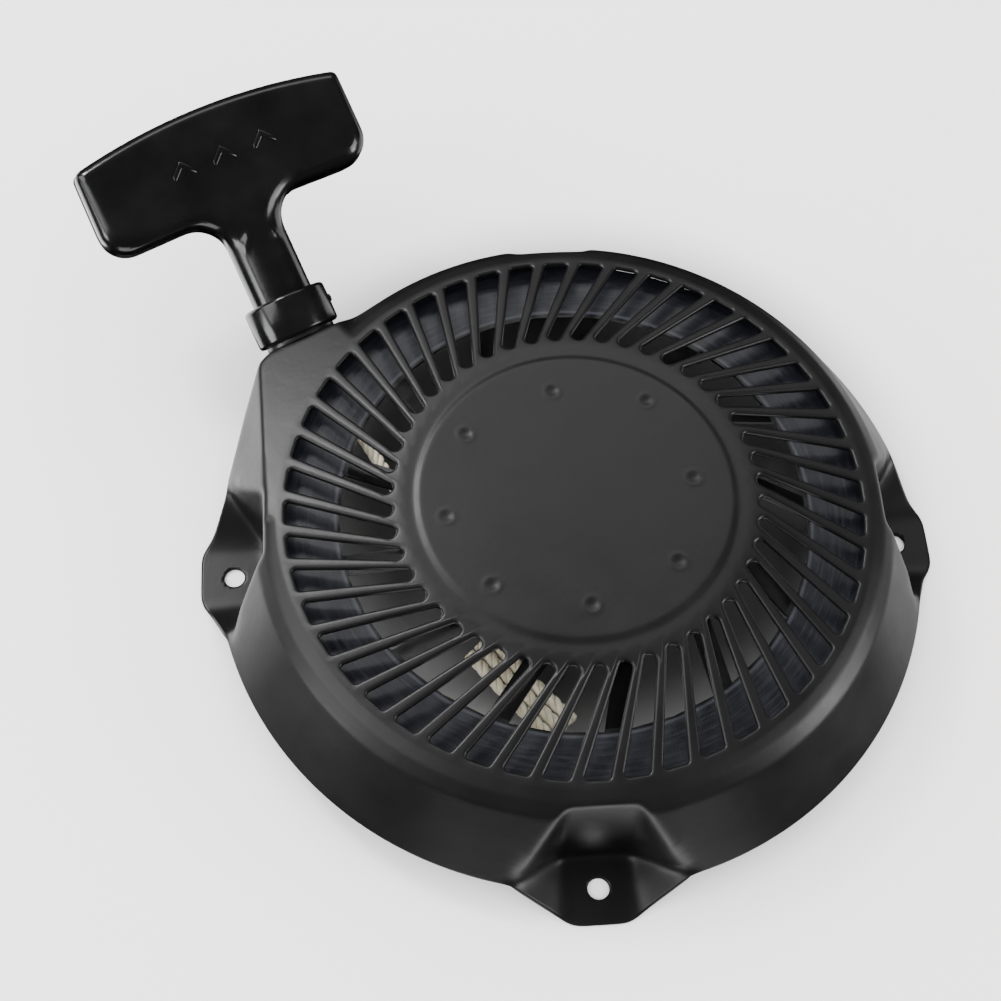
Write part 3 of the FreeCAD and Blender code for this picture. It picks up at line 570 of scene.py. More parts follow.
def outward(outline):
    """Unit normals of the slot's outline, away from the opening."""
    ahead = np.roll(outline, -1, axis=0) - np.roll(outline, 1, axis=0)
    normal = np.stack([-ahead[:, 1], ahead[:, 0]], axis=1)
    normal /= np.linalg.norm(normal, axis=1)[:, None]
    middle = outline.mean(axis=0)
    if np.sum((outline - middle) * normal) < 0:
        normal = -normal
    return normal


# The slot's rolled edge: each ring's distance from the outline, and its drop below the top.
EDGE_ROLL = (
    (1.2, 0.0), (0.85, 0.04), (0.52, 0.15), (0.25, 0.36), (0.07, 0.65), (0.0, 1.0), (0.0, 1.75),
    (0.22, 1.9), (0.7, 1.6), (1.35, 1.3),
)


def grille_sector():
    """Rings from one sector's border over the rib, round the slot's rolled edge and back below."""
    outline = slot_outline()
    border = sector_outline(outline)
    normal = outward(outline)
    rings = []

    def ring(flat, drop):
        radius = np.hypot(flat[:, 0], flat[:, 1])
        rings.append(np.column_stack([flat, top_height(radius) - drop]))

    ring(border, 0.0)
    for offset, drop in EDGE_ROLL:
        ring(outline + normal * offset, drop)
    ring(border, SHEET)
    return np.array(rings)


def plane_through(a, b, c, inside):
    """Unit normal and offset of the plane through three points, with the fourth in front of it."""
    normal = (b - a).cross(c - a).normalized()
    if normal.dot(inside - a) < 0:
        normal = -normal
    return normal, normal.dot(a)


def pocket_planes():
    """The planes round the open space over the ear on +X: points in the space are in front of each."""
    skirt_corner = polar(SKIRT[0] - 0.1, POCKET_SPREAD, SKIRT[1])
    inside = Vector((130, 0, 30))
    planes = []
    for side in (1, -1):
        top = Vector((POCKET_TOP, side * POCKET_TOP_HALF, POCKET_CEILING))
        foot = Vector((POCKET_FOOT, side * POCKET_FOOT_HALF, SHEET))
        corner = Vector((skirt_corner.x, side * skirt_corner.y, skirt_corner.z))
        planes.append(plane_through(top, corner, foot, inside))
    top = Vector((POCKET_TOP, 0, POCKET_CEILING))
    planes.append(plane_through(top, top + Vector((0, 5, 0)), Vector((POCKET_FOOT, 0, SHEET)), inside))
    return planes


def boss_planes():
    """Points of the rope boss are behind each of these planes."""
    planes = []
    inside = Vector((-85, 50, 20))
    for corners in (
        (BOSS_CORNER, BOSS_LEFT, BOSS_FEET[0]),
        (BOSS_CORNER, BOSS_FEET[0], BOSS_FEET[1]),
        (BOSS_CORNER, BOSS_FEET[1], BOSS_FEET[2]),
    ):
        normal, offset = plane_through(*corners, inside)
        planes.append((-normal, -offset))
    right = Vector((math.cos(HANDLE_TURN), math.sin(HANDLE_TURN), BOSS_RIGHT_LEAN)).normalized()
    return planes + [(PULL, EXIT_FACE), (right, right.dot(BOSS_RIGHT))]


# Directions from the axis, either side of an ear's middle, where its tab and its pocket's foot end.
TAB_EDGE = math.degrees(math.atan2(TAB_CORNER[1], TAB_CORNER[0]))
FOOT_EDGE = math.degrees(math.atan2(POCKET_FOOT_HALF, POCKET_FOOT))


def crossing(a, b, angle):
    """Distance from the axis and height where the line between two points crosses a half-plane."""
    way = polar(1.0, angle)
    step = b - a
    share = (a.x * way.y - a.y * way.x) / (step.y * way.x - step.x * way.y)
    spot = a + step * share
    return spot.to_2d().length, spot.z


def tab_end(angle):
    """Distance of the ear's outline from the pulley axis, along one direction from it."""
    x = math.cos(math.radians(angle))
    y = abs(math.sin(math.radians(angle)))
    chamfer_x, chamfer_y = TAB_CHAMFER
    chamfer = (chamfer_x * TAB_SIDE[0] + chamfer_y * TAB_SIDE[1]) / (chamfer_x * x + chamfer_y * y)
    return min(EAR_END / x, chamfer)


def plain_skirt(z):
    """Distance of the skirt's outer surface from the axis at each height, without boss or ears."""
    flare = (SKIRT[0] - SHOULDER[0]) / (SHOULDER[1] - SKIRT[1])
    grille_edge = float(top_height(GRILLE_OUT))
    return np.interp(
        -z,
        [-grille_edge, -RIM[1], -EDGE[1], -SHOULDER[1], -SKIRT[1], -SHEET],
        [GRILLE_OUT, RIM[0], EDGE[0], SHOULDER[0], SKIRT[0], SKIRT[0] + flare * (SKIRT[1] - SHEET)],
    )


def with_boss(base, z, angle, boss):
    """The skirt pushed out to the rope boss's planes, where they stand out from it."""
    way = polar(1.0, angle)
    high = RIM[0] + (RIM[1] - z) / SLOPE
    low = np.zeros_like(z)
    for normal, offset in boss:
        a = normal.dot(way)
        limit = (offset - normal.z * z) / a
        if a > 0:
            high = np.minimum(high, limit)
        else:
            low = np.maximum(low, limit)
    return np.where((low < base + 1.5) & (high > base), high, base)


def with_pocket(radius, z, turned, pockets):
    """The skirt cut back to the pocket's planes over an ear."""
    way = polar(1.0, turned)
    inner = np.full_like(z, -1e9)
    for normal, offset in pockets:
        a = normal.dot(way)
        if a > 0:
            inner = np.maximum(inner, (offset - normal.z * z) / a)
    return np.minimum(radius, np.maximum(inner, POCKET_TOP - 0.5))


def skirt_column(angle, pockets, boss):
    """Outer surface of the skirt in one half-plane, from the grille down to the sheet's edge."""
    z = np.linspace(float(top_height(GRILLE_OUT)), SHEET, 1500)
    radius = plain_skirt(z)
    if BOSS_ANGLES[0] < angle < BOSS_ANGLES[1]:
        radius = with_boss(radius, z, angle, boss)
    turned = (angle + 45.0) % 90.0 - 45.0
    last = None
    stop = SKIRT[1]
    if abs(turned) < POCKET_SPREAD:
        radius = with_pocket(radius, z, turned, pockets)
        foot = Vector((POCKET_FOOT, POCKET_FOOT_HALF, SHEET))
        corner = polar(SKIRT[0], POCKET_SPREAD + 0.05, SKIRT[1])
        stop = foot.z
        if abs(turned) < TAB_EDGE:
            last = (tab_end(turned), SHEET)
        else:
            last = crossing(Vector((*TAB_CORNER, SHEET)), corner, abs(turned))
        if abs(turned) > FOOT_EDGE:
            stop = crossing(foot, corner, abs(turned))[1]
    keep = z >= stop - 1e-9
    path = np.column_stack([radius[keep], z[keep]])
    if last is not None:
        path = np.vstack([path, [last]])
    return path


def lengths_along(points):
    """Distance of each point from the first, along the line through them."""
    steps = np.linalg.norm(np.diff(points, axis=0), axis=1)
    return np.concatenate([[0.0], np.cumsum(steps)])


def evenly(points, count):
    """The same line through a number of evenly spaced points, and their distances along it."""
    along = lengths_along(points)
    want = np.linspace(0.0, along[-1], count)
    return np.column_stack([np.interp(want, along, axis) for axis in points.T]), want


def blur(field, sigma, axis, wrap):
    """Gaussian smoothing of an array along one axis, holding the two ends where it doesn't wrap."""
    reach = int(math.ceil(sigma * 3))
    moved = np.moveaxis(field, axis, 0)
    if wrap:
        padded = np.concatenate([moved[-reach:], moved, moved[:reach]])
    else:
        before = 2 * moved[:1] - moved[1 : reach + 1][::-1]
        after = 2 * moved[-1:] - moved[-reach - 1 : -1][::-1]
        padded = np.concatenate([before, moved, after])
    out = sum(k * padded[i : i + len(moved)] for i, k in enumerate(bell(reach, sigma)))
    return np.moveaxis(out, 0, axis)


SKIRT_ROWS = 84

# Widths of the smoothing, in rows down the skirt and in columns round it: the pressing's bends
# are softer near the ears' feet than at the rim.
SOFT_DOWN = 1.5
SOFT_ROUND = 1.1
SOFT_ROUND_LOW = 2.6
SOFT_OUTLINE = 2.2
LOW_START = 0.55
LOW_BLEND = 0.3


def skirt_surface(start_angle):
    """Outer surface of rim, skirt, boss and ears, as rows by columns of points."""
    columns = SECTORS * OUTER_STEPS
    angles = (start_angle + np.arange(columns) * 360.0 / columns) % 360.0
    pockets = pocket_planes()
    boss = boss_planes()
    paths = np.array([evenly(skirt_column(a, pockets, boss), SKIRT_ROWS)[0] for a in angles])
    outline = blur(paths[:, -1], SOFT_OUTLINE, 0, True)
    first = paths[:, 0].copy()
    paths = blur(paths, SOFT_DOWN, 1, False)
    soft = blur(paths, SOFT_ROUND_LOW, 0, True)
    paths = blur(paths, SOFT_ROUND, 0, True)
    low = np.clip((np.arange(SKIRT_ROWS) / SKIRT_ROWS - LOW_START) / LOW_BLEND, 0, 1)
    paths += (soft - paths) * low[None, :, None]
    paths[:, -1] = outline
    paths[:, 0] = first
    radius = paths[:, :, 0]
    turn = np.radians(angles)[:, None]
    points = np.stack([radius * np.cos(turn), radius * np.sin(turn), paths[:, :, 1]], axis=2)
    return np.swapaxes(points, 0, 1)


def surface_normals(points):
    """Normals of a grid that is closed round its columns, pointing away from the axis or up."""
    around = np.roll(points, -1, axis=1) - np.roll(points, 1, axis=1)
    down = np.gradient(points, axis=0)
    normal = np.cross(down, around)
    normal /= np.linalg.norm(normal, axis=2)[:, :, None] + 1e-12
    return normal


def add_grille(vertices, faces):
    """The slotted ring, sector by sector."""
    sector = grille_sector()
    rings, count = sector.shape[:2]
    for k in range(SECTORS):
        turn = math.radians(SLOT_ANGLE + SECTOR * k)
        spin = np.array([[math.cos(turn), -math.sin(turn)], [math.sin(turn), math.cos(turn)]])
        start = len(vertices)
        for ring in sector:
            flat = ring[:, :2] @ spin.T
            vertices.extend(np.column_stack([flat, ring[:, 2]]))
        faces.extend(grid_faces(rings, count, start))


def add_skirt(vertices, faces):
    """Rim, skirt, boss and ears: the outer surface, the inner one and the walls of the holes."""
    outer = skirt_surface(SLOT_ANGLE + slot_angle_at(GRILLE_OUT) - SECTOR / 2)
    inner = outer - surface_normals(outer) * SHEET
    inner[0] = outer[0] - np.array([0, 0, SHEET])
    grid = np.concatenate([outer, inner[::-1]])
    dropped = open_holes(grid, outer)
    start = len(vertices)
    vertices.extend(grid.reshape(-1, 3))
    rows, columns = grid.shape[:2]
    for r in range(rows - 1):
        above = start + r * columns
        below = above + columns
        for c in range(columns):
            if (r, c) in dropped:
                continue
            d = (c + 1) % columns
            faces.append((above + c, below + c, below + d, above + d))
    faces.extend(hole_walls(dropped, SKIRT_ROWS, columns, start))


def make_shell(material):
    """The pressed cover as one closed mesh."""
    vertices = []
    faces = []
    add_grille(vertices, faces)
    add_skirt(vertices, faces)
    disc_start = SLOT_ANGLE + slot_angle_at(GRILLE_IN) + SECTOR / 2
    add_disc(vertices, faces, disc_start - np.arange(SECTORS * INNER_STEPS) * SECTOR / INNER_STEPS)
    piece = finish_mesh("shell_cover", vertices, faces, material, "housing", ("shell",))
    weld(piece)


def open_holes(grid, outer):
    """Open the four ear holes: the cells to leave out, with their borders moved onto the circles."""
    columns = outer.shape[1]
    total = grid.shape[0]
    dropped = set()
    low = outer[:-1, :, 2] < SHEET + 1.8
    for angle in EAR_ANGLES:
        centre = np.array(polar(HOLE_CIRCLE, angle).to_2d())
        flat = outer[:, :, :2] - centre
        next_flat = np.roll(flat, -1, axis=1)
        middle = (flat[:-1] + flat[1:] + next_flat[:-1] + next_flat[1:]) / 4
        inside = (np.linalg.norm(middle, axis=2) < HOLE_RADIUS - 0.05) & low
        border = set()
        for r, c in zip(*np.nonzero(inside)):
            dropped.add((int(r), int(c)))
            dropped.add((total - 2 - int(r), int(c)))
            for dr in (0, 1):
                for dc in (0, 1):
                    border.add((int(r) + dr, (int(c) + dc) % columns))
        for r, c in border:
            around = [(r - 1, c - 1), (r - 1, c), (r, c - 1), (r, c)]
            if all((a, b % columns) in dropped for a, b in around):
                continue
            offset = grid[r, c, :2] - centre
            snapped = centre + offset / np.linalg.norm(offset) * HOLE_RADIUS
            grid[r, c, :2] = snapped
            grid[total - 1 - r, c, :2] = snapped
    return dropped


def hole_walls(dropped, rows, columns, start):
    """Walls that join the two faces of the sheet round each ear hole."""
    walls = []
    total = rows * 2
    upper = {(r, c) for r, c in dropped if r < rows - 1}

    def at(r, c):
        return start + r * columns + (c % columns)

    def under(r, c):
        return start + (total - 1 - r) * columns + (c % columns)

    for r, c in upper:
        sides = [
            ((r - 1, c), (r, c), (r, c + 1)),
            ((r + 1, c), (r + 1, c + 1), (r + 1, c)),
            ((r, (c - 1) % columns), (r + 1, c), (r, c)),
            ((r, (c + 1) % columns), (r, c + 1), (r + 1, c + 1)),
        ]
        for neighbour, a, b in sides:
            if neighbour not in upper:
                walls.append((at(*a), at(*b), under(*b), under(*a)))
    return walls


# Each spot weld's distance from the axis, and its direction in degrees.
DIMPLE_SPOTS = [
    (39, 97), (42.5, 51.5), (39, 5), (40.5, -41),
    (40, -87.5), (43, -133), (43, -171.5), (42, 145.5),
]


def dimple(away):
    """Depth of a spot weld's mark: a small pit with a faint raised ring round it."""
    return 0.32 * np.exp(-((away / 1.5) ** 2)) - 0.1 * np.exp(-(((away - 2.6) / 0.8) ** 2))


def add_disc(vertices, faces, angles):
    """Central disc, top and underside, with the faint marks of its spot welds."""
    radii = [GRILLE_IN, 55.4, 54.2, 53.4, 52.8, 52.4, 52.0, 51.6, 51.2, 50.8, 50.2, 49.2, 47.8]
    radii += list(np.arange(46.6, 34.0, -0.7)) + [31.0, 28.0, 24.0, 19.0, 14.0, 9.0, 4.5, 1.5]
    columns = len(angles)
    turn = np.radians(angles)
    for under in (False, True):
        start = len(vertices)
        for radius in radii:
            x = radius * np.cos(turn)
            y = radius * np.sin(turn)
            z = np.full(columns, float(top_height(radius)))
            for r, a in DIMPLE_SPOTS:
                spot = polar(r, a)
                z -= dimple(np.hypot(x - spot.x, y - spot.y))
            if under:
                z -= SHEET
            vertices.extend(np.column_stack([x, y, z]))
        faces.extend(grid_faces(len(radii), columns, start, flip=not under))
        centre = len(vertices)
        vertices.append(np.array([0.0, 0.0, DISC_TOP - (SHEET if under else 0.0)]))
        last = start + (len(radii) - 1) * columns
        for c in range(columns):
            tri = (last + c, last + (c + 1) % columns, centre)
            faces.append(tri if under else tri[::-1])


def weld(piece):
    """Join the seams between separately built parts of one mesh."""
    mesh = bmesh.new()
    mesh.from_mesh(piece.data)
    bmesh.ops.remove_doubles(mesh, verts=mesh.verts, dist=0.02 * MM)
    bmesh.ops.recalc_face_normals(mesh, faces=mesh.faces)
    open_edges = sum(1 for e in mesh.edges if len(e.link_faces) != 2)
    mesh.to_mesh(piece.data)
    mesh.free()
    piece.data.shade_smooth()
    print(piece.name, "edges without two faces:", open_edges)


# ---- handle

HANDLE_FRAME = (
    Matrix.Translation(HANDLE_FOOT)
    @ Matrix.Rotation(HANDLE_TURN, 4, "Z")
    @ Matrix.Rotation(HANDLE_TILT, 4, "X")
)


def to_row(points):
    """From the handle's own frame, with Y along the pull, to the part's frame."""
    points = np.asarray(points, float)
    turn = np.array(HANDLE_FRAME.to_3x3())
    return points @ turn.T + np.array(HANDLE_FRAME.translation)


def ease(share):
    """A smooth step from 0 to 1."""
    return share**2 * (3 - 2 * share)


def rounded_path(corners, radii, steps):
    """A closed outline through the corners, each rounded by its own radius."""
    points = []
    count = len(corners)
    for i in range(count):
        before = Vector((*corners[i - 1], 0))
        corner = Vector((*corners[i], 0))
        after = Vector((*corners[(i + 1) % count], 0))
        if radii[i] <= 0:
            points.append(corner)
        else:
            points.extend(corner_arc(before, corner, after, radii[i], steps))
    return np.array([(p.x, p.y) for p in points])


def lathe(profile, segments=96):
    """Points and faces of a closed profile of (distance from axis, place along axis), about Y."""
    turn = np.linspace(0, 2 * math.pi, segments, endpoint=False)
    points = []
    for radius, along in profile:
        x = radius * np.cos(turn)
        z = radius * np.sin(turn)
        points.extend(np.column_stack([x, np.full(segments, along), z]))
    faces = grid_faces(len(profile), segments)
    last = (len(profile) - 1) * segments
    for c in range(segments):
        d = (c + 1) % segments
        faces.append((last + c, last + d, d, c))
    return np.array(points), faces


# The grip in its own frame, with X along its bar and Y along the pull. Its side corners run from
# the neck's root out to the bar's end, each with the radius that rounds it.
BAR_HALF_LENGTH = 49.4
BAR_TOP = 84.2
BAR_ARCH = 5.6
BAR_BOTTOM = 47.4
GRIP_HALF_THICK = 10.9
SIDE_CORNERS = [(8.4, 28.0), (10.9, 36.5), (11.8, BAR_BOTTOM), (50.3, 46.6)]
SIDE_RADII = [0, 4.0, 10.2, 10.0]
END_RADIUS = 2.6
NECK_PROFILE = [(0.01, 3.0), (9.9, 3.0), (10.9, 4.0), (10.9, 58.0), (0.01, 62.0)]


def grip_outline():
    """The grip's outline in its middle plane, from the neck's root round the arched bar."""
    across = np.linspace(BAR_HALF_LENGTH, -BAR_HALF_LENGTH, 25)
    arch = [(x, BAR_TOP - BAR_ARCH * (x / BAR_HALF_LENGTH) ** 2) for x in across]
    corners = SIDE_CORNERS + arch + [(-x, y) for x, y in reversed(SIDE_CORNERS)]
    arch_radii = [END_RADIUS] + [0] * (len(arch) - 2) + [END_RADIUS]
    return rounded_path(corners, SIDE_RADII + arch_radii + SIDE_RADII[::-1], 10)


def face_dip(x, y):
    """Depth of the shallow hollow where the grip's face runs into its neck."""
    return 0.9 * np.exp(-((x / 15) ** 2) - ((y - 57) / 13) ** 2)


def grip_rough(outline):
    """The bar, with its edges rounder below and roundest at the neck, and the neck through it."""
    normal = outward(outline)
    neck_share = np.clip((BAR_BOTTOM - outline[:, 1]) / 12.0, 0, 1)
    side_share = np.clip((79.0 - outline[:, 1]) / 8.0, 0, 1)
    edge = 4.2 + 2.0 * ease(side_share) + 4.4 * ease(neck_share)
    vertices = []
    count = len(outline)
    turns = np.linspace(-math.pi / 2, math.pi / 2, 19)
    for turn in turns:
        flat = outline - normal * (edge * (1 - math.cos(turn)))[:, None]
        height = math.copysign(1.0, turn) * (GRIP_HALF_THICK - edge) + edge * math.sin(turn)
        vertices.extend(np.column_stack([flat, height]))
    faces = grid_faces(len(turns), count)
    faces.append(tuple(range(count)))
    faces.append(tuple((len(turns) - 1) * count + i for i in reversed(range(count))))
    neck, neck_faces = lathe(NECK_PROFILE)
    start = len(vertices)
    vertices.extend(neck)
    faces.extend(tuple(start + i for i in f) for f in neck_faces)
    return vertices, faces


def melted(vertices, faces):
    """The same shape as one smooth skin, its solids melted into one another."""
    mesh = bpy.data.meshes.new("grip_rough")
    mesh.from_pydata([tuple(v) for v in np.array(vertices) * MM], [], faces)
    rough = bpy.data.objects.new("grip_rough", mesh)
    bpy.context.collection.objects.link(rough)
    remesh = rough.modifiers.new("melt", "REMESH")
    remesh.mode = "VOXEL"
    remesh.voxel_size = 0.62 * MM
    soften = rough.modifiers.new("soften", "SMOOTH")
    soften.factor = 0.5
    soften.iterations = 14
    evaluated = rough.evaluated_get(bpy.context.evaluated_depsgraph_get())
    done = bpy.data.meshes.new_from_object(evaluated)
    bpy.data.objects.remove(rough)
    points = np.array([v.co for v in done.vertices]) / MM
    faces = [tuple(p.vertices) for p in done.polygons]
    bpy.data.meshes.remove(done)
    return points, faces


def make_grip(outline, material):
    """T-shaped grip: a slab with soft edges and an arched top, melted into its round neck."""
    points, faces = melted(*grip_rough(outline))
    x, y, z = points.T
    on_face = np.clip((np.abs(z) - 5) / 5, 0, 1)
    points[:, 2] -= np.sign(z) * face_dip(x, y) * on_face
    finish_mesh("grip_body", to_row(points), faces, material, "handle", ("grip",))


def make_flash(outline, material):
    """Thin line of flash where the grip's two mould halves met."""
    keep = outline[outline[:, 1] > 46.0]
    gaps = np.linalg.norm(np.diff(np.vstack([keep, keep[:1]]), axis=0), axis=1)
    keep = np.roll(keep, -int(np.argmax(gaps)) - 1, axis=0)
    normal = np.zeros_like(keep)
    ahead = np.gradient(keep, axis=0)
    normal[:, 0] = ahead[:, 1]
    normal[:, 1] = -ahead[:, 0]
    normal /= np.linalg.norm(normal, axis=1)[:, None]
    if np.sum(normal * (keep - keep.mean(axis=0))) < 0:
        normal = -normal
    vertices = []
    section = [(-0.5, -0.45), (0.28, -0.2), (0.28, 0.2), (-0.5, 0.45)]
    for p, n in zip(keep, normal):
        for out, height in section:
            vertices.append((*(p + n * out), height))
    faces = grid_faces(len(keep), 4)
    faces.append((3, 2, 1, 0))
    last = (len(keep) - 1) * 4
    faces.append((last, last + 1, last + 2, last + 3))
    finish_mesh("grip_flash", to_row(vertices), faces, material, "handle")


def make_marks(material):
    """Three raised chevrons on the grip's face that show which way to pull."""
    vertices = []
    faces = []
    half = 4.2
    for x in (-15.0, 0.0, 15.0):
        lower = [(x - half, 62.6), (x, 66.6), (x + half, 62.6)]
        upper = [(x + half, 65.0), (x, 69.2), (x - half, 65.0)]
        outline = rounded_path(lower + upper, [0.5] * 6, 3)
        face = GRIP_HALF_THICK - 0.04 - face_dip(outline[:, 0], outline[:, 1])
        start = len(vertices)
        count = len(outline)
        normal = outward(outline)
        for inset, rise in ((-0.15, -0.6), (0.0, 0.2), (0.25, 0.42)):
            flat = outline - normal * inset
            vertices.extend(np.column_stack([flat, face + rise]))
        faces.extend(grid_faces(3, count, start))
        faces.append(tuple(start + 2 * count + i for i in range(count)))
        faces.append(tuple(start + i for i in reversed(range(count))))
    piece = finish_mesh("grip_marks", to_row(vertices), faces, material, "handle")
    weld(piece)


def fillet_profile(corners, radii, steps=5):
    """A lathe profile with rounded corners."""
    return [tuple(p) for p in rounded_path(corners, radii, steps)]


def make_seat(material):
    """Collar that the handle's neck drops into, with a rounded lip and the stub of its gate."""
    profile = fillet_profile(
        [(6.05, -0.7), (14.9, -0.7), (15.0, 6.0), (14.9, 13.5), (11.35, 13.5), (11.35, 2.6), (6.05, 2.6)],
        [0, 1.2, 6.0, 1.3, 0.5, 0.4, 0],
    )
    points, faces = lathe(profile, 112)
    seat = ("handle_seat",)
    finish_mesh("handle_collar", to_row(points), faces, material, "housing", seat)
    gate, gate_faces = lathe(
        fillet_profile([(0.01, -1.0), (1.5, -1.0), (1.35, 0.9), (0.01, 1.0)], [0, 0, 0.5, 0], 3), 24
    )
    turned = np.column_stack([gate[:, 1] + 14.9, gate[:, 0] + 7.2, gate[:, 2]])
    finish_mesh("collar_gate", to_row(turned), gate_faces, material, "housing")


def make_eyelet(material):
    """Nylon eyelet: a ribbed flange against the shell and a round mouth inside it."""
    wall = -(HANDLE_FOOT.dot(PULL) - EXIT_FACE)
    back = wall - SHEET
    profile = fillet_profile(
        [(3.9, back - 2.4), (5.7, back - 2.4), (5.7, back - 0.05), (5.0, back - 0.05), (5.0, wall + 0.05),
         (12.6, wall + 0.05), (12.6, -0.75), (6.0, -0.75), (6.0, 2.5), (2.8, 2.5), (2.8, back)],
        [0.9, 0.6, 0.2, 0, 0, 0.2, 0.2, 0, 0.3, 0.5, 0.9],
    )
    points, faces = lathe(profile)
    finish_mesh("eyelet_body", to_row(points), faces, material, "housing", ("rope_eyelet",))


# ---- ropes


def frames_along(points):
    """Two cross directions at each point of a line, without twist."""
    tangent = np.gradient(points, axis=0)
    tangent /= np.linalg.norm(tangent, axis=1)[:, None]
    side = np.cross(tangent[0], [0.0, 0.0, 1.0])
    if np.linalg.norm(side) < 0.2:
        side = np.cross(tangent[0], [1.0, 0.0, 0.0])
    sides = []
    for t in tangent:
        side = side - t * side.dot(t)
        side = side / np.linalg.norm(side)
        sides.append(side.copy())
    sides = np.array(sides)
    return sides, np.cross(tangent, sides)


# A strand's middle and its two half widths, as shares of the rope's radius.
STRANDS = 3
STRAND_OUT = 0.52
STRAND_DEEP = 1 - STRAND_OUT
STRAND_WIDE = 0.6


def strand_mesh(points, along, radius, sides=8):
    """Twisted strands about a line, with each point's distance along the rope that is laid on it."""
    across, up = frames_along(points)
    vertices = []
    faces = []
    ring = np.linspace(0, 2 * math.pi, sides, endpoint=False)
    for s in range(STRANDS):
        angle = along / ROPE_PITCH * 2 * math.pi + 2 * math.pi * s / STRANDS
        out = across * np.cos(angle)[:, None] + up * np.sin(angle)[:, None]
        sideways = -across * np.sin(angle)[:, None] + up * np.cos(angle)[:, None]
        centre = points + out * radius * STRAND_OUT
        start = len(vertices)
        for i in range(len(points)):
            for a in ring:
                deep = out[i] * math.cos(a) * radius * STRAND_DEEP
                wide = sideways[i] * math.sin(a) * radius * STRAND_WIDE
                vertices.append(centre[i] + deep + wide)
        faces.extend(grid_faces(len(points), sides, start))
        faces.append(tuple(start + i for i in reversed(range(sides))))
        last = start + (len(points) - 1) * sides
        faces.append(tuple(last + i for i in range(sides)))
    return vertices, faces


def smooth_curve(route):
    """Points of a smooth spline through the route's hull."""
    curve = bpy.data.curves.new("route", "CURVE")
    curve.dimensions = "3D"
    curve.resolution_u = 24
    spline = curve.splines.new("NURBS")
    spline.points.add(len(route) - 1)
    for point, place in zip(spline.points, route):
        point.co = (*place, 1.0)
    spline.order_u = 3
    spline.use_endpoint_u = True
    holder = bpy.data.objects.new("route", curve)
    bpy.context.collection.objects.link(holder)
    evaluated = holder.evaluated_get(bpy.context.evaluated_depsgraph_get())
    mesh = bpy.data.meshes.new_from_object(evaluated)
    points = np.array([v.co for v in mesh.vertices])
    bpy.data.objects.remove(holder)
    bpy.data.curves.remove(curve)
    bpy.data.meshes.remove(mesh)
    return points


ROPE_RADIUS = 2.25
ROPE_PITCH = 11.0
ROPE_LEVEL = 29.5
WINDING = 42.0
TAIL_LEVEL = 21.6
TAIL_FOLD = [(-33.6, -38.5), (-27.0, -48.0), (-20.0, -56.5), (-8.5, -70.0)]
TAIL_WAY = (18.1, -19.1)
HANDLE_TRAVEL = 1300.0
LEAD_START = -0.9
LEAD_LENGTH = 61.0


def make_rope(name, route, material, body, nodes=(), radius=ROPE_RADIUS, step=0.8):
    """A laid rope along a smooth route."""
    curve = smooth_curve(route)
    points, along = evenly(curve, int(lengths_along(curve)[-1] / step))
    vertices, faces = strand_mesh(points, along, radius)
    return finish_mesh(name, vertices, faces, material, body, nodes)


def make_ropes(material):
    """All of the rope outside the grip."""
    make_run(material)
    make_tail(material)
    make_winding(material)
    make_lead(material)


def make_run(material):
    """Rope from where it leaves the winding, round the bend, to the eyelet's mouth."""
    bend = HANDLE_FOOT - PULL * ((HANDLE_FOOT.z - ROPE_LEVEL) / PULL.z)
    reach = WINDING + ROPE_RADIUS + 0.3
    away = math.hypot(bend.x, bend.y)
    heading = math.degrees(math.atan2(bend.y, bend.x) + math.acos(reach / away))
    touch = polar(reach, heading, ROPE_LEVEL)
    end = HANDLE_FOOT - PULL * 1.0
    route = [touch, touch.lerp(bend, 0.5), bend.lerp(touch, 0.1), bend, bend.lerp(end, 0.3), end]
    make_rope("rope_to_eyelet", route, material, "housing", ("rope_run",))


def make_tail(material):
    """The rope's end below the pulley, folded into three side by side."""
    across = Vector((-TAIL_WAY[1], TAIL_WAY[0], 0)).normalized() * (ROPE_RADIUS * 2 + 0.1)
    for side in (-1, 0, 1):
        route = [Vector((x, y, TAIL_LEVEL)) + across * side for x, y in TAIL_FOLD]
        make_rope(f"rope_tail_{side + 2}", route, material, "pulley_body")
    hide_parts("rope_tail")


def make_winding(material):
    """The last layer of rope wound in the pulley's groove."""
    turns = 3
    rise = 2.2
    share = np.linspace(0, 1, turns * 220)
    turn = share * turns * 2 * math.pi
    radius = WINDING - ROPE_RADIUS - 0.1
    height = ROPE_LEVEL - rise / 2 + rise * share
    points = np.column_stack([radius * np.cos(turn), radius * np.sin(turn), height])
    vertices, faces = strand_mesh(points, turn * radius, ROPE_RADIUS * 0.98)
    finish_mesh("rope_coil", vertices, faces, material, "pulley_body", ("rope_winding",))


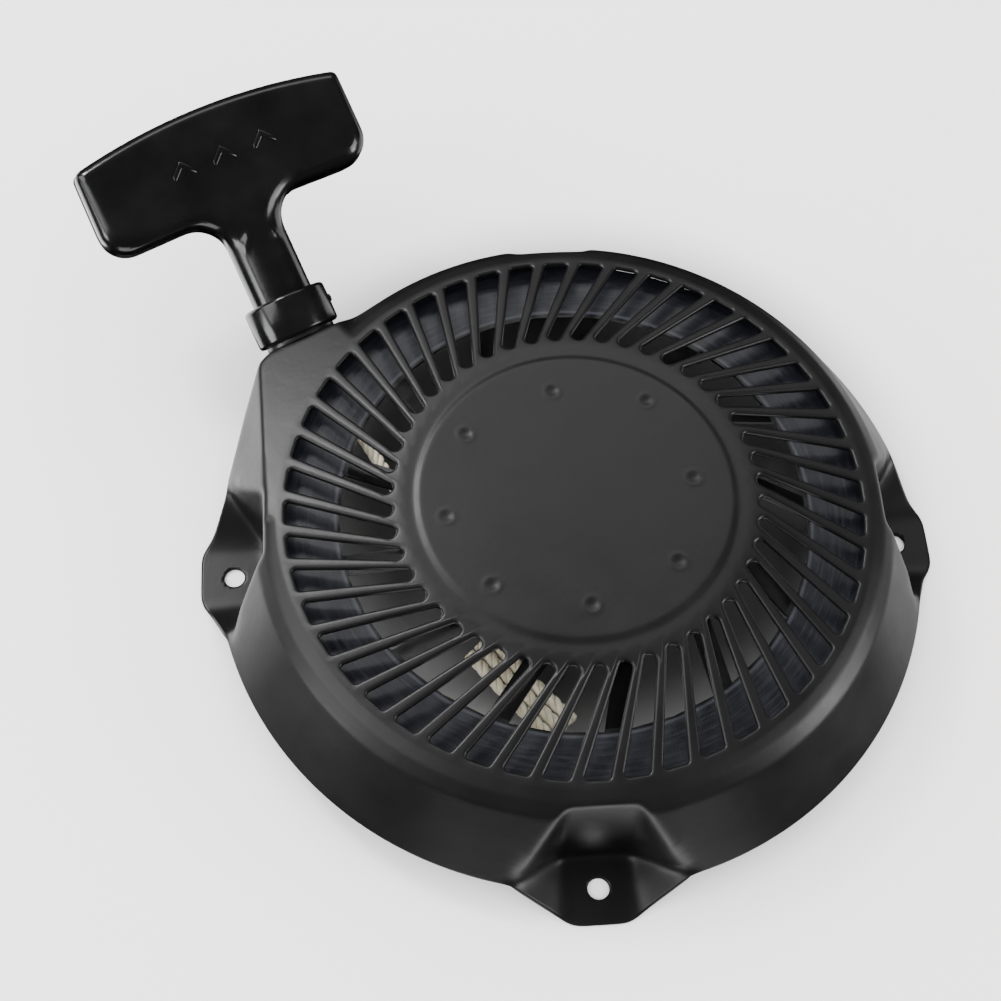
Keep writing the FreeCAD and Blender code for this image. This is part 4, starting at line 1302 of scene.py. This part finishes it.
def make_lead(material):
    """Rope from the eyelet to the knot, bunched up at rest, its strands twisted by where each point would
    lie at full pull.
    """
    count = 1500
    share = np.linspace(0.0, 1.0, 20001)
    paid_out = share * LEAD_LENGTH + ease(share) * HANDLE_TRAVEL
    along = np.linspace(0.0, 1.0, count) * paid_out[-1]
    at_rest = LEAD_START + np.interp(along, paid_out, share) * LEAD_LENGTH
    line = to_row(np.column_stack([np.zeros(count), at_rest, np.zeros(count)]))
    vertices, faces = strand_mesh(line, along, ROPE_RADIUS, sides=6)
    piece = finish_mesh("rope_lead_out", vertices, faces, material, None)
    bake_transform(piece)
    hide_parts("rope_lead")


def make_knot(material):
    """Overhand knot at the rope's end, in the grip."""
    width = 1.35
    middle = 66.6
    loop = []
    for i in range(13):
        a = 2 * math.pi * i / 12
        x = (math.sin(a) + 2 * math.sin(2 * a)) * width
        y = middle - math.sin(3 * a) * 2.0
        z = (math.cos(a) - 2 * math.cos(2 * a)) * width
        loop.append((x, y, z))
    make_rope("knot_turns", to_row(loop), material, "rope_end", ("handle_knot",), 2.1, 0.5)


# ---- assembly


def dress(name, material):
    """Give a carried-over CAD node its material, and leave its mesh as it is."""
    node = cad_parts[name]
    for slot in node.material_slots:
        slot.material = material


def main():
    paint = shell_paint()
    gloss = plastic("grip_plastic", (0.0026, 0.0026, 0.0028), 0.2)
    nylon = plastic("black_nylon", (0.005, 0.005, 0.0055), 0.36, 0.00005)
    zinc = steel("zinc_steel", (0.60, 0.59, 0.56), 0.34)
    spring = steel("spring_steel", (0.24, 0.26, 0.31), 0.3)
    sintered = steel("sintered_steel", (0.30, 0.29, 0.28), 0.5, 500.0)
    fibre = rope_fibre()
    add_camera()
    add_studio()
    make_shell(paint)
    outline = grip_outline()
    make_grip(outline, gloss)
    make_flash(outline, gloss)
    make_marks(gloss)
    make_seat(gloss)
    make_eyelet(nylon)
    make_ropes(fibre)
    make_knot(fibre)
    carried = {
        "guard_spider": guard_paint(), "hub_post": zinc, "centre_screw": zinc, "screw_washer": zinc,
        "recoil_spring": spring, "pulley": nylon, "spring_cover": zinc, "cover_screws": zinc,
        "pawl_a": sintered, "pawl_b": sintered, "pawl_pins": zinc, "pawl_springs": spring,
        "friction_plate": zinc, "brake_spring": spring, "rope_stop": zinc,
    }
    for name, material in carried.items():
        dress(name, material)


main()
